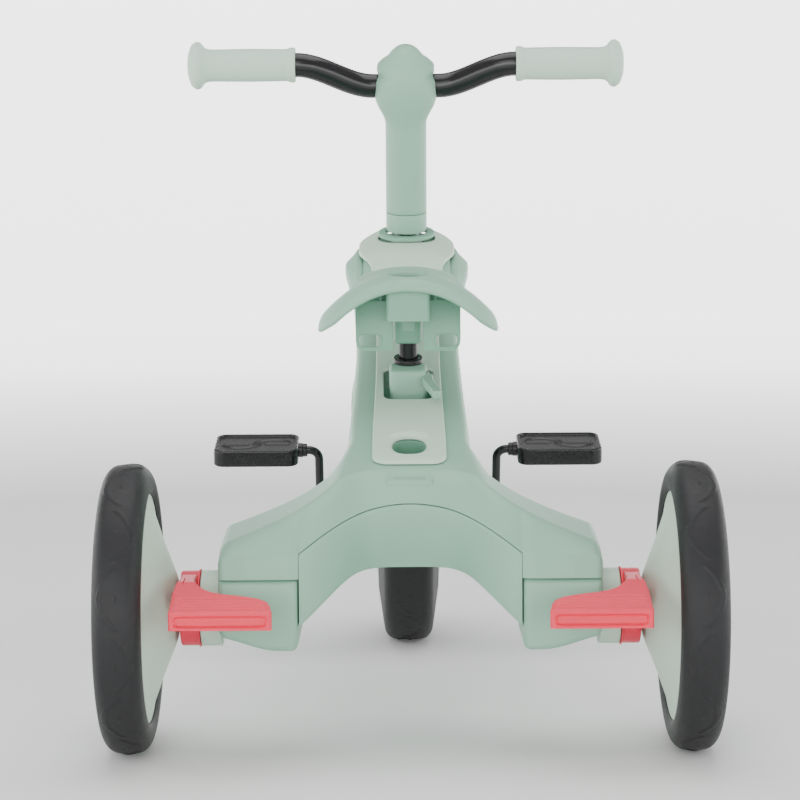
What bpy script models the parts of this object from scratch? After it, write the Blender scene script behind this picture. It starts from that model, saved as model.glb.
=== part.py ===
"""A child's ride-on tricycle, as separate pieces on their joints.

Metres, +Z up, +Y the way the tricycle rides, +X to the rider's right. The origin is on the floor
at the middle of the tricycle's box. Every piece hangs from an empty: the frame's empty stands
under the rear axle, the steering empty lies on the steering axis at the front axle, and each
turning piece has an empty on its own axis.
"""
import math

import bmesh
import bpy
import numpy as np
from mathutils import Matrix, Vector

# Driving dimensions
REAR_WHEEL_R = 0.111
FRONT_WHEEL_R = 0.1225
WHEELBASE = 0.477
TRACK = 0.4314            # between the middles of the rear tyres
RAKE = math.radians(14.0)
GRIP_SPAN = 0.392         # over the ends of the grips
GRIP_LENGTH = 0.097
SEAT_WIDTH = 0.146

# Clearances
GAP = 0.0003              # between pieces that touch
SKIN_GAP = 0.0012         # between a curved skin and the cover on it
RUNNING = 0.0005          # round a shaft that turns in a bore
WHEEL_CLEARANCE = 0.008   # between the front tyre and the fork crown

# Walls and rods
SHELL_WALL = 0.003
AXLE_R = 0.005
CRANK_ROD_R = 0.004
BAR_R = 0.0109
STEERER_R = 0.012
POST_R = 0.0076
BUSH_WALL = 0.003

# Rear wheels
REAR_TYRE_W = 0.036
REAR_TYRE_DEPTH = 0.023
REAR_HUB_R = 0.024
REAR_DISH_DEPTH = 0.0375  # from the tyre's middle to the inboard face of the hub

# Front wheel
FRONT_TYRE_W = 0.0466
FRONT_TYRE_DEPTH = 0.055
FRONT_TYRE_FLARE = 0.0054 # the flank's width at the bead over the tread's, each side
FRONT_HUB_R = 0.018
FRONT_HUB_HALF = 0.036
WHEEL_STEPS = 28          # facets round a wheel, a multiple of 4 so that it stands on a point

# Arms and legs of the frame
ARM_END_X = 0.0840        # where the arm stops and the leg begins
LEG_END_X = 0.1445
LEG_REAR_Y = -0.050
LEG_FRONT_Y = 0.045
LEG_SEAM_RISE = 0.028     # the leg's top over the axle
LEG_DROP = 0.026          # the leg's bottom under the axle
BOSS_R = 0.0290
BOSS_END_X = 0.1600
COLLAR_W = 0.0155
PLATE_IN_X = 0.102
PLATE_REAR_Y = -0.100

# Spine of the frame, heights over the rear axle
DECK_RISE = 0.1005
DECK_SLOPE = 0.31
NECK_SLOPE = 0.75
KNEE_BACK = 0.192         # from the front axle back to the knee between deck and neck
KNEE_SOFTNESS = 0.018
KNEE_LEAD = 0.012         # from the end of the deck panel to the knee
SPINE_HALF_REAR = 0.0489
SPINE_HALF_FRONT = 0.0428
FLARE_R = 0.040
BELLY_RISE = 0.028
BELLY_SLOPE = 0.25
NECK_TURN_BACK = 0.197    # from the front axle back to where the belly turns up to the head
CROWN_SWING = 0.080       # flat room behind the steering axis for the fork's crown
LEAN_START_BACK = 0.147   # from the front axle back to where the neck begins to lean
LEAN_RUN = 0.08
NECK_FALL = 0.011
NECK_FALL_BACK = 0.187    # from the front axle back to where the crown begins to fall
NECK_FALL_RUN = 0.11
NOSE = 0.012
HOOD_HALF = 0.0440
HOOD_THICK = 0.0040
CHEEK_OUT = 0.0096
BASE_RING_R = 0.0262
BASE_RING_H = 0.004
ARCH_FLAT = 0.043
ARCH_SLOPE = 0.92
UNDERCUT = 0.020          # how far the rear panel's foot stands ahead of its top, in the middle
SEAM_RISE = 0.0806
SEAM_FALL = 4.74
REAR_EDGE_Y = -0.012
ARM_RISE = 0.1445         # the arms' crest over the axle, carried in to the middle line
ARM_SLOPE = 0.98
ARM_EASE = 2.6
ARM_SWEEP = 0.033
ARM_SWEEP_START = 0.028
ARM_SWEEP_RUN = 0.056
EDGE_ROUND = 0.016

# Deck panel and what opens through it
DECK_THICK = 0.0025
DECK_REAR_Y = 0.020
DECK_HALF = 0.0290
PANEL_CORNER = 0.012
SOCKET_Y = 0.057
SOCKET_HALF_W = 0.0138
SOCKET_HALF_L = 0.0170
SOCKET_WALL = 0.002
SOCKET_DEPTH = 0.045

# Seat
POST_AHEAD = 0.016        # how far the post stands ahead of midway from the socket to the knee
POST_LEAN = math.radians(15.0)
COLLAR_R = 0.0157
COLLAR_H = 0.018
SHIM_R = 0.0123
SHIM_STANDS = 0.0025
SEAT_TUBE_WALL = 0.002
POST_HEAD_S = 0.038
POST_LOW_S = -0.058
SEAT_TUBE_LOW_S = -0.070
LUG_DEPTH = 0.010
LUG_HALF = 0.0105
BOLT_R = 0.0025
PIN_R = 0.0016
SEAT_RISE = 0.095         # saddle crest over the deck at the post, along the post
SEAT_LENGTH = 0.205
SEAT_THICK = 0.010
SEAT_DROOP = 0.042
SEAT_HOLE_R = 0.0150
SEAT_REAR = -0.087         # rear edge behind the post's foot
BACKREST_HALF = 0.0150
BRACKET_LOW = 0.029
BAY_HALF = 0.0125
PLATE_HALF = 0.0430
PLATE_THICK = 0.004

# Head and steering, distances along the steering axis
CROWN_H = 0.026
HEAD_LENGTH = 0.120
HEAD_TUBE_WALL = 0.002
COLLAR_TOP_H = 0.018
COLUMN_H = 0.086
COLUMN_HALF = 0.0187
COLUMN_DEPTH = 0.0205
SCREW_R = 0.0020
STEM_H = 0.0674
BAR_OVER_STEM = 0.030
STEM_HALF = 0.0283
FORK_LEG_IN = 0.0405
FORK_LEG_W = 0.0125
FORK_HALF_DEPTH = 0.017
BAR_RISE = 0.022
BAR_SETBACK = 0.012
GRIP_R = 0.0145
GRIP_FLANGE_R = 0.0215

# Cranks and pedals
CRANK_LENGTH = 0.070
CRANK_X = 0.0840
CRANK_LEAN = math.radians(26.0)
CRANK_BEND_R = 0.0095
PEDAL_IN_X = 0.1030
PEDAL_LENGTH = 0.079
PEDAL_HALF_W = 0.030
PEDAL_HALF_T = 0.0080
PEDAL_NECK_L = 0.0082
PEDAL_NECK_R = 0.0062
PEDAL_TILT = math.radians(10.0)

# Worked out from the above
NECK_TURN_Y = WHEELBASE - NECK_TURN_BACK
LEAN_START_Y = WHEELBASE - LEAN_START_BACK
NECK_FALL_START = WHEELBASE - NECK_FALL_BACK
KNEE_Y = WHEELBASE - KNEE_BACK
POST_Y = (SOCKET_Y + KNEE_Y) / 2.0 + POST_AHEAD
AXLE_Y = -(WHEELBASE + FRONT_WHEEL_R - REAR_WHEEL_R) / 2.0
HEAD_S = FRONT_WHEEL_R + WHEEL_CLEARANCE + CROWN_H + GAP
HEAD_TOP_S = HEAD_S + HEAD_LENGTH
COLUMN_S = HEAD_TOP_S + 0.003 + COLLAR_TOP_H
STEM_S = COLUMN_S + COLUMN_H
BAR_S = STEM_S + BAR_OVER_STEM
AXLE_END_X = TRACK / 2.0 + REAR_TYRE_W / 2.0 - 0.010
HEAD_TUBE_R = STEERER_R + BUSH_WALL + RUNNING + HEAD_TUBE_WALL + GAP


# ---------------------------------------------------------------- materials

def finish(name, colour, roughness, metallic=0.0):
    """A Principled material with a linear colour."""
    made = bpy.data.materials.new(name)
    made.use_nodes = True
    shader = made.node_tree.nodes["Principled BSDF"]
    shader.inputs["Base Color"].default_value = (*colour, 1.0)
    shader.inputs["Roughness"].default_value = roughness
    shader.inputs["Metallic"].default_value = metallic
    return made


FINISHES = {
    "body_mint": ((0.36, 0.50, 0.43), 0.45, 0.0),
    "pale_mint": ((0.56, 0.66, 0.57), 0.45, 0.0),
    "deep_mint": ((0.22, 0.38, 0.30), 0.50, 0.0),
    "grip_mint": ((0.55, 0.67, 0.58), 0.65, 0.0),
    "tyre_black": ((0.030, 0.030, 0.031), 0.62, 0.0),
    "bar_black": ((0.015, 0.015, 0.016), 0.22, 0.0),
    "pedal_black": ((0.030, 0.030, 0.032), 0.45, 0.0),
    "brake_red": ((0.80, 0.090, 0.105), 0.38, 0.0),
    "steel": ((0.55, 0.56, 0.58), 0.32, 1.0),
    "bush_white": ((0.70, 0.70, 0.68), 0.50, 0.0),
}


# ---------------------------------------------------------------- mesh tools

def empty(name, parent, place, turn=(0.0, 0.0, 0.0)):
    """A frame of reference at a place in its parent."""
    made = bpy.data.objects.new(name, None)
    bpy.context.collection.objects.link(made)
    made.parent = parent
    made.location = place
    made.rotation_euler = turn
    return made


def piece(name, mesh_parts, slot, parent):
    """One named object from points and faces, with its faces pointing out."""
    points, faces = mesh_parts
    mesh = bpy.data.meshes.new(name)
    mesh.from_pydata([tuple(p) for p in points], [], faces)
    work = bmesh.new()
    work.from_mesh(mesh)
    bmesh.ops.remove_doubles(work, verts=work.verts, dist=1e-7)
    bmesh.ops.recalc_face_normals(work, faces=work.faces)
    work.to_mesh(mesh)
    work.free()
    mesh.shade_smooth()
    mesh.set_sharp_from_angle(angle=math.radians(35.0))
    made = bpy.data.objects.new(name, mesh)
    bpy.context.collection.objects.link(made)
    made.parent = parent
    made.data.materials.append(MATERIALS[slot])
    return made


def loft(rings, ring_closed_on_itself=False, split=False):
    """A skin over rings of equal length, capped at both ends or joined end to end.

    Split halves each four-sided face, for skins that twist.
    """
    rings = np.asarray(rings, dtype=float)
    count, around, _ = rings.shape
    faces = []
    last = count if ring_closed_on_itself else count - 1
    for i in range(last):
        here = i * around
        there = ((i + 1) % count) * around
        for j in range(around):
            k = (j + 1) % around
            if split:
                faces.append((here + j, here + k, there + k))
                faces.append((here + j, there + k, there + j))
            else:
                faces.append((here + j, here + k, there + k, there + j))
    if not ring_closed_on_itself:
        faces.append(tuple(range(around))[::-1])
        faces.append(tuple(range((count - 1) * around, count * around)))
    return rings.reshape(-1, 3), faces


def turned(profile, steps=32, closed=True):
    """A body of revolution about X from (x, radius) points.

    A closed profile is a ring with a bore; an open one is solid and gets flat ends.
    """
    angle = np.arange(steps) * 2.0 * math.pi / steps
    rings = [np.stack([np.full(steps, x), r * np.sin(angle), r * np.cos(angle)], axis=1)
             for x, r in profile]
    return loft(rings, ring_closed_on_itself=closed)


def swept(path, radius, sides=12):
    """A round rod along a path of points, its rings turned as little as possible."""
    path = np.asarray(path, dtype=float)
    along = np.gradient(path, axis=0)
    along /= np.linalg.norm(along, axis=1)[:, None]
    side = np.cross(along[0], (0.3, 0.9, 0.1))
    rings = []
    angle = np.arange(sides) * 2.0 * math.pi / sides
    for place, ahead in zip(path, along):
        side = side - ahead * np.dot(side, ahead)
        side /= np.linalg.norm(side)
        up = np.cross(ahead, side)
        ring = place + radius * (np.cos(angle)[:, None] * side + np.sin(angle)[:, None] * up)
        rings.append(ring)
    return loft(rings)


def extruded(outline, low, high, plane="xz"):
    """A prism: an outline in one plane, carried between two distances across it."""
    order = {"xz": (0, 2, 1), "yz": (1, 2, 0), "xy": (0, 1, 2)}[plane]
    rings = []
    for level in (low, high):
        ring = np.zeros((len(outline), 3))
        ring[:, order[0]] = [p[0] for p in outline]
        ring[:, order[1]] = [p[1] for p in outline]
        ring[:, order[2]] = level
        rings.append(ring)
    return loft(rings)


def moved(mesh_parts, matrix):
    """The same points and faces, placed by a matrix."""
    points, faces = mesh_parts
    return [matrix @ Vector(p) for p in points], faces


def rounded_box_outline(half_a, half_b, radius, steps=4):
    """A rectangle with round corners, as points about its middle."""
    outline = []
    for corner in range(4):
        centre_a = (half_a - radius) * (1, -1, -1, 1)[corner]
        centre_b = (half_b - radius) * (1, 1, -1, -1)[corner]
        for step in range(steps + 1):
            turn = math.radians(90.0 * corner + 90.0 * step / steps)
            outline.append((centre_a + radius * math.cos(turn), centre_b + radius * math.sin(turn)))
    return outline


def bevelled(made, width, segments=2):
    """Round the sharp edges of a piece."""
    modifier = made.modifiers.new("edges", "BEVEL")
    modifier.width = width
    modifier.segments = segments
    modifier.limit_method = "ANGLE"
    modifier.angle_limit = math.radians(40.0)
    return made


def combined(made, other, operation):
    """Cut, join or keep the common part of a piece and a second body."""
    modifier = made.modifiers.new(operation.lower(), "BOOLEAN")
    modifier.operation = operation
    modifier.solver = "EXACT"
    modifier.object = other
    return made


def tool(name, mesh_parts, parent):
    """A body that only shapes others and isn't a piece itself."""
    made = piece(name, mesh_parts, "steel", parent)
    made.hide_render = True
    made.display_type = "WIRE"
    return made


def rod_between(start, end, radius, sides=16):
    """A straight round rod between two points, as points and faces."""
    return swept([start, end], radius, sides)


def smooth_step(value):
    """0 below 0, 1 above 1, and an even S between."""
    held = np.clip(value, 0.0, 1.0)
    return held * held * (3.0 - 2.0 * held)


# ---------------------------------------------------------------- frame surfaces

def steer_point(s, ahead=0.0):
    """(y, z) of a point s above the front axle on the steering axis, or ahead of the axis."""
    y = WHEELBASE - s * math.sin(RAKE) + ahead * math.cos(RAKE)
    z = FRONT_WHEEL_R + s * math.cos(RAKE) + ahead * math.sin(RAKE)
    return y, z


def lean(y, z):
    """Lean the neck's upper skin back, so that its front stands along the steering axis."""
    _, head_z = steer_point(HEAD_S)
    return y - math.tan(RAKE) * (z - head_z) * smooth_step((y - LEAN_START_Y) / LEAN_RUN)


def neck_plane_z(y):
    """Top of the neck, square to the steering axis, before the lean."""
    slope = math.tan(RAKE)
    _, head_z = steer_point(HEAD_S)
    top_y, top_level = steer_point(HEAD_TOP_S - HOOD_THICK - SKIN_GAP)
    return (top_level + slope * (y + slope * head_z - top_y)) / (1.0 + slope * slope)


def deck_z(y):
    """Height of the spine's top line: one slope at the deck, then a steeper one up the neck."""
    rise = KNEE_SOFTNESS * math.log1p(math.exp((y - KNEE_Y) / KNEE_SOFTNESS))
    line = REAR_WHEEL_R + DECK_RISE + DECK_SLOPE * y + (NECK_SLOPE - DECK_SLOPE) * rise
    soft = 0.010
    over = (line - neck_plane_z(y)) / soft
    return line - soft * math.log1p(math.exp(over))


def seam_z(x):
    """Height of the seam between the upper skin and the rear panel."""
    return REAR_WHEEL_R + SEAM_RISE - SEAM_FALL * min(abs(x), ARM_END_X) ** 2


def rear_y(x):
    """Where the rear face of the arms stands, swept back towards the wheels."""
    return REAR_EDGE_Y - ARM_SWEEP * smooth_step((abs(x) - ARM_SWEEP_START) / ARM_SWEEP_RUN)


def panel_foot_y(x):
    """Where the rear panel meets the underside: ahead of its top in the middle, under it on the arms."""
    return rear_y(x) + UNDERCUT * (1.0 - smooth_step((abs(x) - 0.015) / 0.045))


def arm_top_z(x):
    """Crest of the arm, falling towards the wheel."""
    return REAR_WHEEL_R + ARM_RISE - (ARM_SLOPE - ARM_EASE * abs(x)) * abs(x)


def arch_z(x):
    """Lower edge of the arms: level in the middle, then falling to the legs."""
    return REAR_WHEEL_R + BELLY_RISE - ARCH_SLOPE * max(abs(x) - ARCH_FLAT, 0.0)


def top_z(x, y, rear):
    """The upper skin: spine, arms, the neck's crown, and the round edge over the seam."""
    on_arm = smooth_step((abs(x) - 0.042) / 0.022) * smooth_step((0.115 - y) / 0.05)
    spine = deck_z(y) - neck_fall(x, y)
    crest = (1.0 - on_arm) * spine + on_arm * (arm_top_z(x) + 0.08 * y)
    edge = seam_z(x) + 0.0015
    rounding = min(max((y - rear) / EDGE_ROUND, 0.0), 1.0)
    return edge + (crest - edge) * math.sqrt(1.0 - (1.0 - rounding) ** 2)


def neck_fall(x, y):
    """How far the neck's crown has fallen at x."""
    return NECK_FALL * smooth_step((y - NECK_FALL_START) / NECK_FALL_RUN) * (x / HOOD_HALF) ** 2


def belly_z(x, y):
    """The underside: the arch at the rear, rising ahead to the head's lower end."""
    head_y, head_z = steer_point(HEAD_S)
    on_arm = 1.0 - smooth_step((y - 0.05) / 0.06)
    level = REAR_WHEEL_R + BELLY_RISE
    rear_part = level + on_arm * (arch_z(x) - level) + BELLY_SLOPE * max(y, 0.0)
    neck_part = head_z + math.tan(RAKE) * (y - head_y)
    blend = smooth_step((y - NECK_TURN_Y) / (head_y - CROWN_SWING - NECK_TURN_Y))
    return (1.0 - blend) * rear_part + blend * neck_part


def plan_curve():
    """Front and side boundary of the frame, from the middle line out along the arm."""
    nose_y, _ = steer_point(HEAD_S, HEAD_TUBE_R + NOSE)
    curve = [(0.0, nose_y), (0.014, nose_y - 0.001), (0.028, nose_y - 0.006)]
    curve.append((SPINE_HALF_FRONT - 0.003, nose_y - 0.018))
    side_top = nose_y - 0.030
    side_end = LEG_FRONT_Y + FLARE_R
    for step in range(4):
        share = step / 3.0
        x = SPINE_HALF_FRONT + (SPINE_HALF_REAR - SPINE_HALF_FRONT) * share ** 1.6
        curve.append((x, side_top + (side_end - side_top) * share))
    for step in range(1, 5):
        turn = math.radians(90.0) * step / 4.0
        x = SPINE_HALF_REAR + FLARE_R * (1.0 - math.cos(turn))
        curve.append((x, side_end - FLARE_R * math.sin(turn)))
    return curve


def inset_curve(curve, wall):
    """The plan curve moved inwards by a wall, square to itself."""
    points = np.array(curve)
    along = np.gradient(points, axis=0)
    along /= np.linalg.norm(along, axis=1)[:, None]
    moved_in = points + wall * np.stack([along[:, 1], -along[:, 0]], axis=1)
    moved_in[0] = (0.0, points[0, 1] - wall)
    return [tuple(p) for p in moved_in]


def deck_stations():
    """Distances along the deck that the frame and the panel on it share."""
    return np.linspace(DECK_REAR_Y, KNEE_Y - KNEE_LEAD, 6)


def neck_stations():
    """Distances along the neck that the frame and the cover on it share."""
    nose_y, _ = steer_point(HEAD_S, HEAD_TUBE_R + NOSE)
    knee = np.linspace(KNEE_Y - KNEE_LEAD, KNEE_Y + 2.0 * KNEE_LEAD, 4)
    return np.concatenate([knee, np.linspace(knee[-1], nose_y, 8)[1:]])


def top_columns(rear, front):
    """Distances along the top at one width: close over the rear edge, then the shared ones."""
    edge = rear + EDGE_ROUND * np.array([0.0, 0.06, 0.22, 0.5, 1.0])
    shared = np.concatenate([deck_stations(), neck_stations()[1:]])
    return np.concatenate([edge, np.minimum(shared, front)])


def belly_columns(rear, front):
    """Distances along the underside at one width."""
    shared = np.concatenate([deck_stations()[::2], neck_stations()[2::3]])
    return np.concatenate([[rear], np.minimum(shared, front), [front]])


def upper_section(x, front):
    """The upper shell's outer YZ ring at x: over the top, and back above the lower shell."""
    rear = rear_y(x)
    inner_y = rear + SHELL_WALL + GAP
    ring = []
    for y in top_columns(rear, front):
        level = top_z(x, y, rear)
        ring.append((x, lean(y, level), level))
    for y in belly_columns(panel_foot_y(x) + SHELL_WALL + GAP, front)[::-1]:
        ring.append((x, y, belly_z(x, y) + SHELL_WALL + GAP))
    ring.append((x, inner_y, seam_z(x) + GAP))
    ring.append((x, rear, seam_z(x) + GAP))
    return ring


def space_section(x, front):
    """The space inside the upper shell at x, open downwards; front is already inset."""
    rear = rear_y(x) + SHELL_WALL
    ring = []
    for y in top_columns(rear, front):
        level = top_z(x, y - SHELL_WALL, rear - SHELL_WALL) - SHELL_WALL
        ring.append((x, lean(y, level), level))
    for y in belly_columns(rear, front)[::-1]:
        ring.append((x, y, belly_z(x, y) - 0.02))
    return ring


def lower_section(x, front):
    """The lower shell at x: the rear panel and the belly plate as one L."""
    rear = rear_y(x)
    inner_y = rear + SHELL_WALL
    foot = panel_foot_y(x)
    ring = [(x, y, belly_z(x, y)) for y in belly_columns(foot, front)]
    ring += [(x, y, belly_z(x, y) + SHELL_WALL) for y in belly_columns(foot + SHELL_WALL, front)[::-1]]
    ring.append((x, inner_y, seam_z(x)))
    ring.append((x, rear, seam_z(x)))
    return ring


def frame_loft(section, wall):
    """A body over the sections of the frame from one arm's end to the other."""
    curve = inset_curve(plan_curve(), wall) if wall > 0.0 else plan_curve()
    stations = [(x, y) for x, y in curve if x < ARM_END_X - wall - 0.002]
    stations.append((ARM_END_X - wall, LEG_FRONT_Y - wall))
    both = [(-x, y) for x, y in stations[:0:-1]] + stations
    return loft([section(x, y) for x, y in both], split=True)


def deck_frame():
    """Matrix of the deck where the push-bar socket stands, square to the panel."""
    tilt = math.atan(DECK_SLOPE)
    return Matrix.Translation((0.0, SOCKET_Y, deck_z(SOCKET_Y))) @ Matrix.Rotation(tilt, 4, "X")


def post_frame():
    """Matrix whose Z runs up the seat post, from where the post meets the deck."""
    return Matrix.Translation((0.0, POST_Y, deck_z(POST_Y))) @ Matrix.Rotation(POST_LEAN, 4, "X")


def head_frame():
    """Matrix whose Z runs up the steering axis, from the front axle."""
    return Matrix.Translation((0.0, WHEELBASE, FRONT_WHEEL_R)) @ Matrix.Rotation(RAKE, 4, "X")


def oval_outline(half_w, half_l, steps=24):
    """A full oval: a superellipse of power 2.4."""
    outline = []
    for step in range(steps):
        turn = 2.0 * math.pi * step / steps
        c, s = math.cos(turn), math.sin(turn)
        outline.append((half_w * math.copysign(abs(c) ** (2.0 / 2.4), c),
                        half_l * math.copysign(abs(s) ** (2.0 / 2.4), s)))
    return outline


def upright(profile, steps=20, closed=False):
    """A body of revolution about Z from (height, radius) points."""
    points, faces = turned(profile, steps, closed)
    return [(p[2], p[1], p[0]) for p in points], faces


# ---------------------------------------------------------------- frame pieces

def build_frame(frame):
    """The two moulded shells of the frame, with the openings that pass through them."""
    inner = tool("frame_space", frame_loft(space_section, SHELL_WALL), frame)
    head_hole = [(HEAD_S - 0.05, HEAD_TUBE_R + GAP), (HEAD_TOP_S + 0.05, HEAD_TUBE_R + GAP)]
    seat_hole = [(-0.02, SHIM_R + GAP), (0.06, SHIM_R + GAP)]
    socket = oval_outline(SOCKET_HALF_W + SOCKET_WALL + GAP, SOCKET_HALF_L + SOCKET_WALL + GAP)
    head_cut = tool("head_hole", moved(upright(head_hole), head_frame()), frame)
    seat_cut = tool("seat_hole", moved(upright(seat_hole), post_frame()), frame)
    socket_cut = tool("socket_hole", moved(extruded(socket, -0.03, 0.03, "xy"), deck_frame()), frame)

    upper = piece("frame_upper_shell", frame_loft(upper_section, 0.0), "body_mint", frame)
    for cut in (inner, head_cut, seat_cut, socket_cut):
        combined(upper, cut, "DIFFERENCE")
    lower = piece("frame_lower_shell", frame_loft(lower_section, 0.0), "body_mint", frame)
    combined(lower, head_cut, "DIFFERENCE")


def deck_half(y):
    """Half width of the deck panel: a little narrower ahead of the socket."""
    return DECK_HALF - 0.0018 * smooth_step((y - 0.05) / 0.15)


def build_deck(frame):
    """The pale panel on the deck with its openings, and the push-bar socket under it."""
    rings = []
    corner = DECK_REAR_Y + 0.5 * PANEL_CORNER
    for y in np.insert(deck_stations(), 1, [corner, DECK_REAR_Y + PANEL_CORNER]):
        half = deck_half(y) - 0.0075 * smooth_step((DECK_REAR_Y + PANEL_CORNER - y) / PANEL_CORNER)
        low = deck_z(y) + SKIN_GAP
        high = low + DECK_THICK
        rings.append([(-half, y, low), (half, y, low), (half, y, high - 0.0006),
                      (half - 0.0006, y, high), (0.0006 - half, y, high), (-half, y, high - 0.0006)])
    panel = piece("deck_panel", loft(rings), "pale_mint", frame)
    pocket = rounded_box_outline(COLLAR_R + 0.006, COLLAR_R + 0.010, 0.006)
    pocket = moved(extruded(pocket, -0.03, 0.05, "xy"), post_frame())
    mouth = oval_outline(SOCKET_HALF_W, SOCKET_HALF_L)
    mouth = moved(extruded(mouth, -0.03, 0.03, "xy"), deck_frame())
    combined(panel, tool("clamp_pocket", pocket, frame), "DIFFERENCE")
    combined(panel, tool("socket_mouth", mouth, frame), "DIFFERENCE")

    inner = oval_outline(SOCKET_HALF_W, SOCKET_HALF_L)
    outer = oval_outline(SOCKET_HALF_W + SOCKET_WALL, SOCKET_HALF_L + SOCKET_WALL)
    levels = [(outer, -SOCKET_DEPTH), (outer, -GAP), (inner, -GAP),
              (inner, SOCKET_WALL - SOCKET_DEPTH)]
    rings = [[(a, b, level) for a, b in outline] for outline, level in levels]
    piece("push_bar_socket", moved(loft(rings), deck_frame()), "deep_mint", frame)


def hood_half(y):
    """Half width of the hood cover: the deck panel's at its rear, widest beside the column."""
    rear = KNEE_Y - KNEE_LEAD
    wide = smooth_step((y - 0.340) / 0.075)
    front = smooth_step((y - 0.425) / 0.05)
    start = deck_half(rear) + 0.005 * smooth_step((y - rear) / 0.06)
    return start + (HOOD_HALF - start) * wide - 0.012 * front


def build_hood(frame):
    """The pale cover over the neck, the ring round the column's foot, and the two cheeks."""
    nose_y, _ = steer_point(HEAD_S, HEAD_TUBE_R + NOSE)
    share = np.linspace(-1.0, 1.0, 9)
    rings = []
    stations = neck_stations()
    stations[0] += GAP
    stations[-1] = nose_y - 0.004
    for y in stations:
        half = min(hood_half(y), HOOD_HALF)
        low = [(half * part, y, deck_z(y) - neck_fall(half * part, y) + SKIN_GAP) for part in share]
        high = [(x, y, z + HOOD_THICK - SKIN_GAP) for x, _, z in low[::-1]]
        rings.append([(x, lean(y, z), z) for x, y, z in low + high])
    cover = piece("hood_cover", loft(rings), "pale_mint", frame)
    ring_hole = [(HEAD_TOP_S - 0.05, BASE_RING_R + GAP), (HEAD_TOP_S + 0.05, BASE_RING_R + GAP)]
    combined(cover, tool("ring_hole", moved(upright(ring_hole, 24), head_frame()), frame), "DIFFERENCE")

    low = HEAD_TOP_S - HOOD_THICK + SKIN_GAP
    inside = STEERER_R + RUNNING + BUSH_WALL + 0.004
    ring = [(low, inside), (low, BASE_RING_R), (low + BASE_RING_H - 0.0015, BASE_RING_R),
            (low + BASE_RING_H, BASE_RING_R - 0.002), (low + BASE_RING_H, inside)]
    piece("column_base_ring", moved(upright(ring, 24, True), head_frame()), "deep_mint", frame)
    for side, word in ((-1.0, "left"), (1.0, "right")):
        build_cheek(frame, side, word)


def build_cheek(frame, side, word):
    """One faceted cheek on the neck's side, fullest beside the column."""
    nose_y, _ = steer_point(HEAD_S, HEAD_TUBE_R + NOSE)
    rings = []
    for y in (0.350, 0.372, 0.395, 0.418, 0.438, nose_y - 0.020):
        inner = SPINE_HALF_FRONT + SKIN_GAP
        swell = smooth_step((y - 0.335) / 0.100) * (1.0 - 0.55 * smooth_step((y - 0.438) / 0.010))
        crest = deck_z(y) - neck_fall(HOOD_HALF, y)
        out = CHEEK_OUT * swell
        ring = [(inner, crest - 0.072), (inner + 0.002 + 0.1 * out, crest - 0.071),
                (inner + 0.002 + 0.40 * out, crest - 0.034), (inner + 0.002 + out, crest - 0.018),
                (inner + 0.002 + 0.98 * out, crest - 0.012), (inner + 0.0015, crest - 0.0015),
                (inner, crest - 0.0015)]
        rings.append([(side * x, lean(y, z), z) for x, z in ring])
    piece("hood_cheek_" + word, loft(rings), "body_mint", frame)


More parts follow.
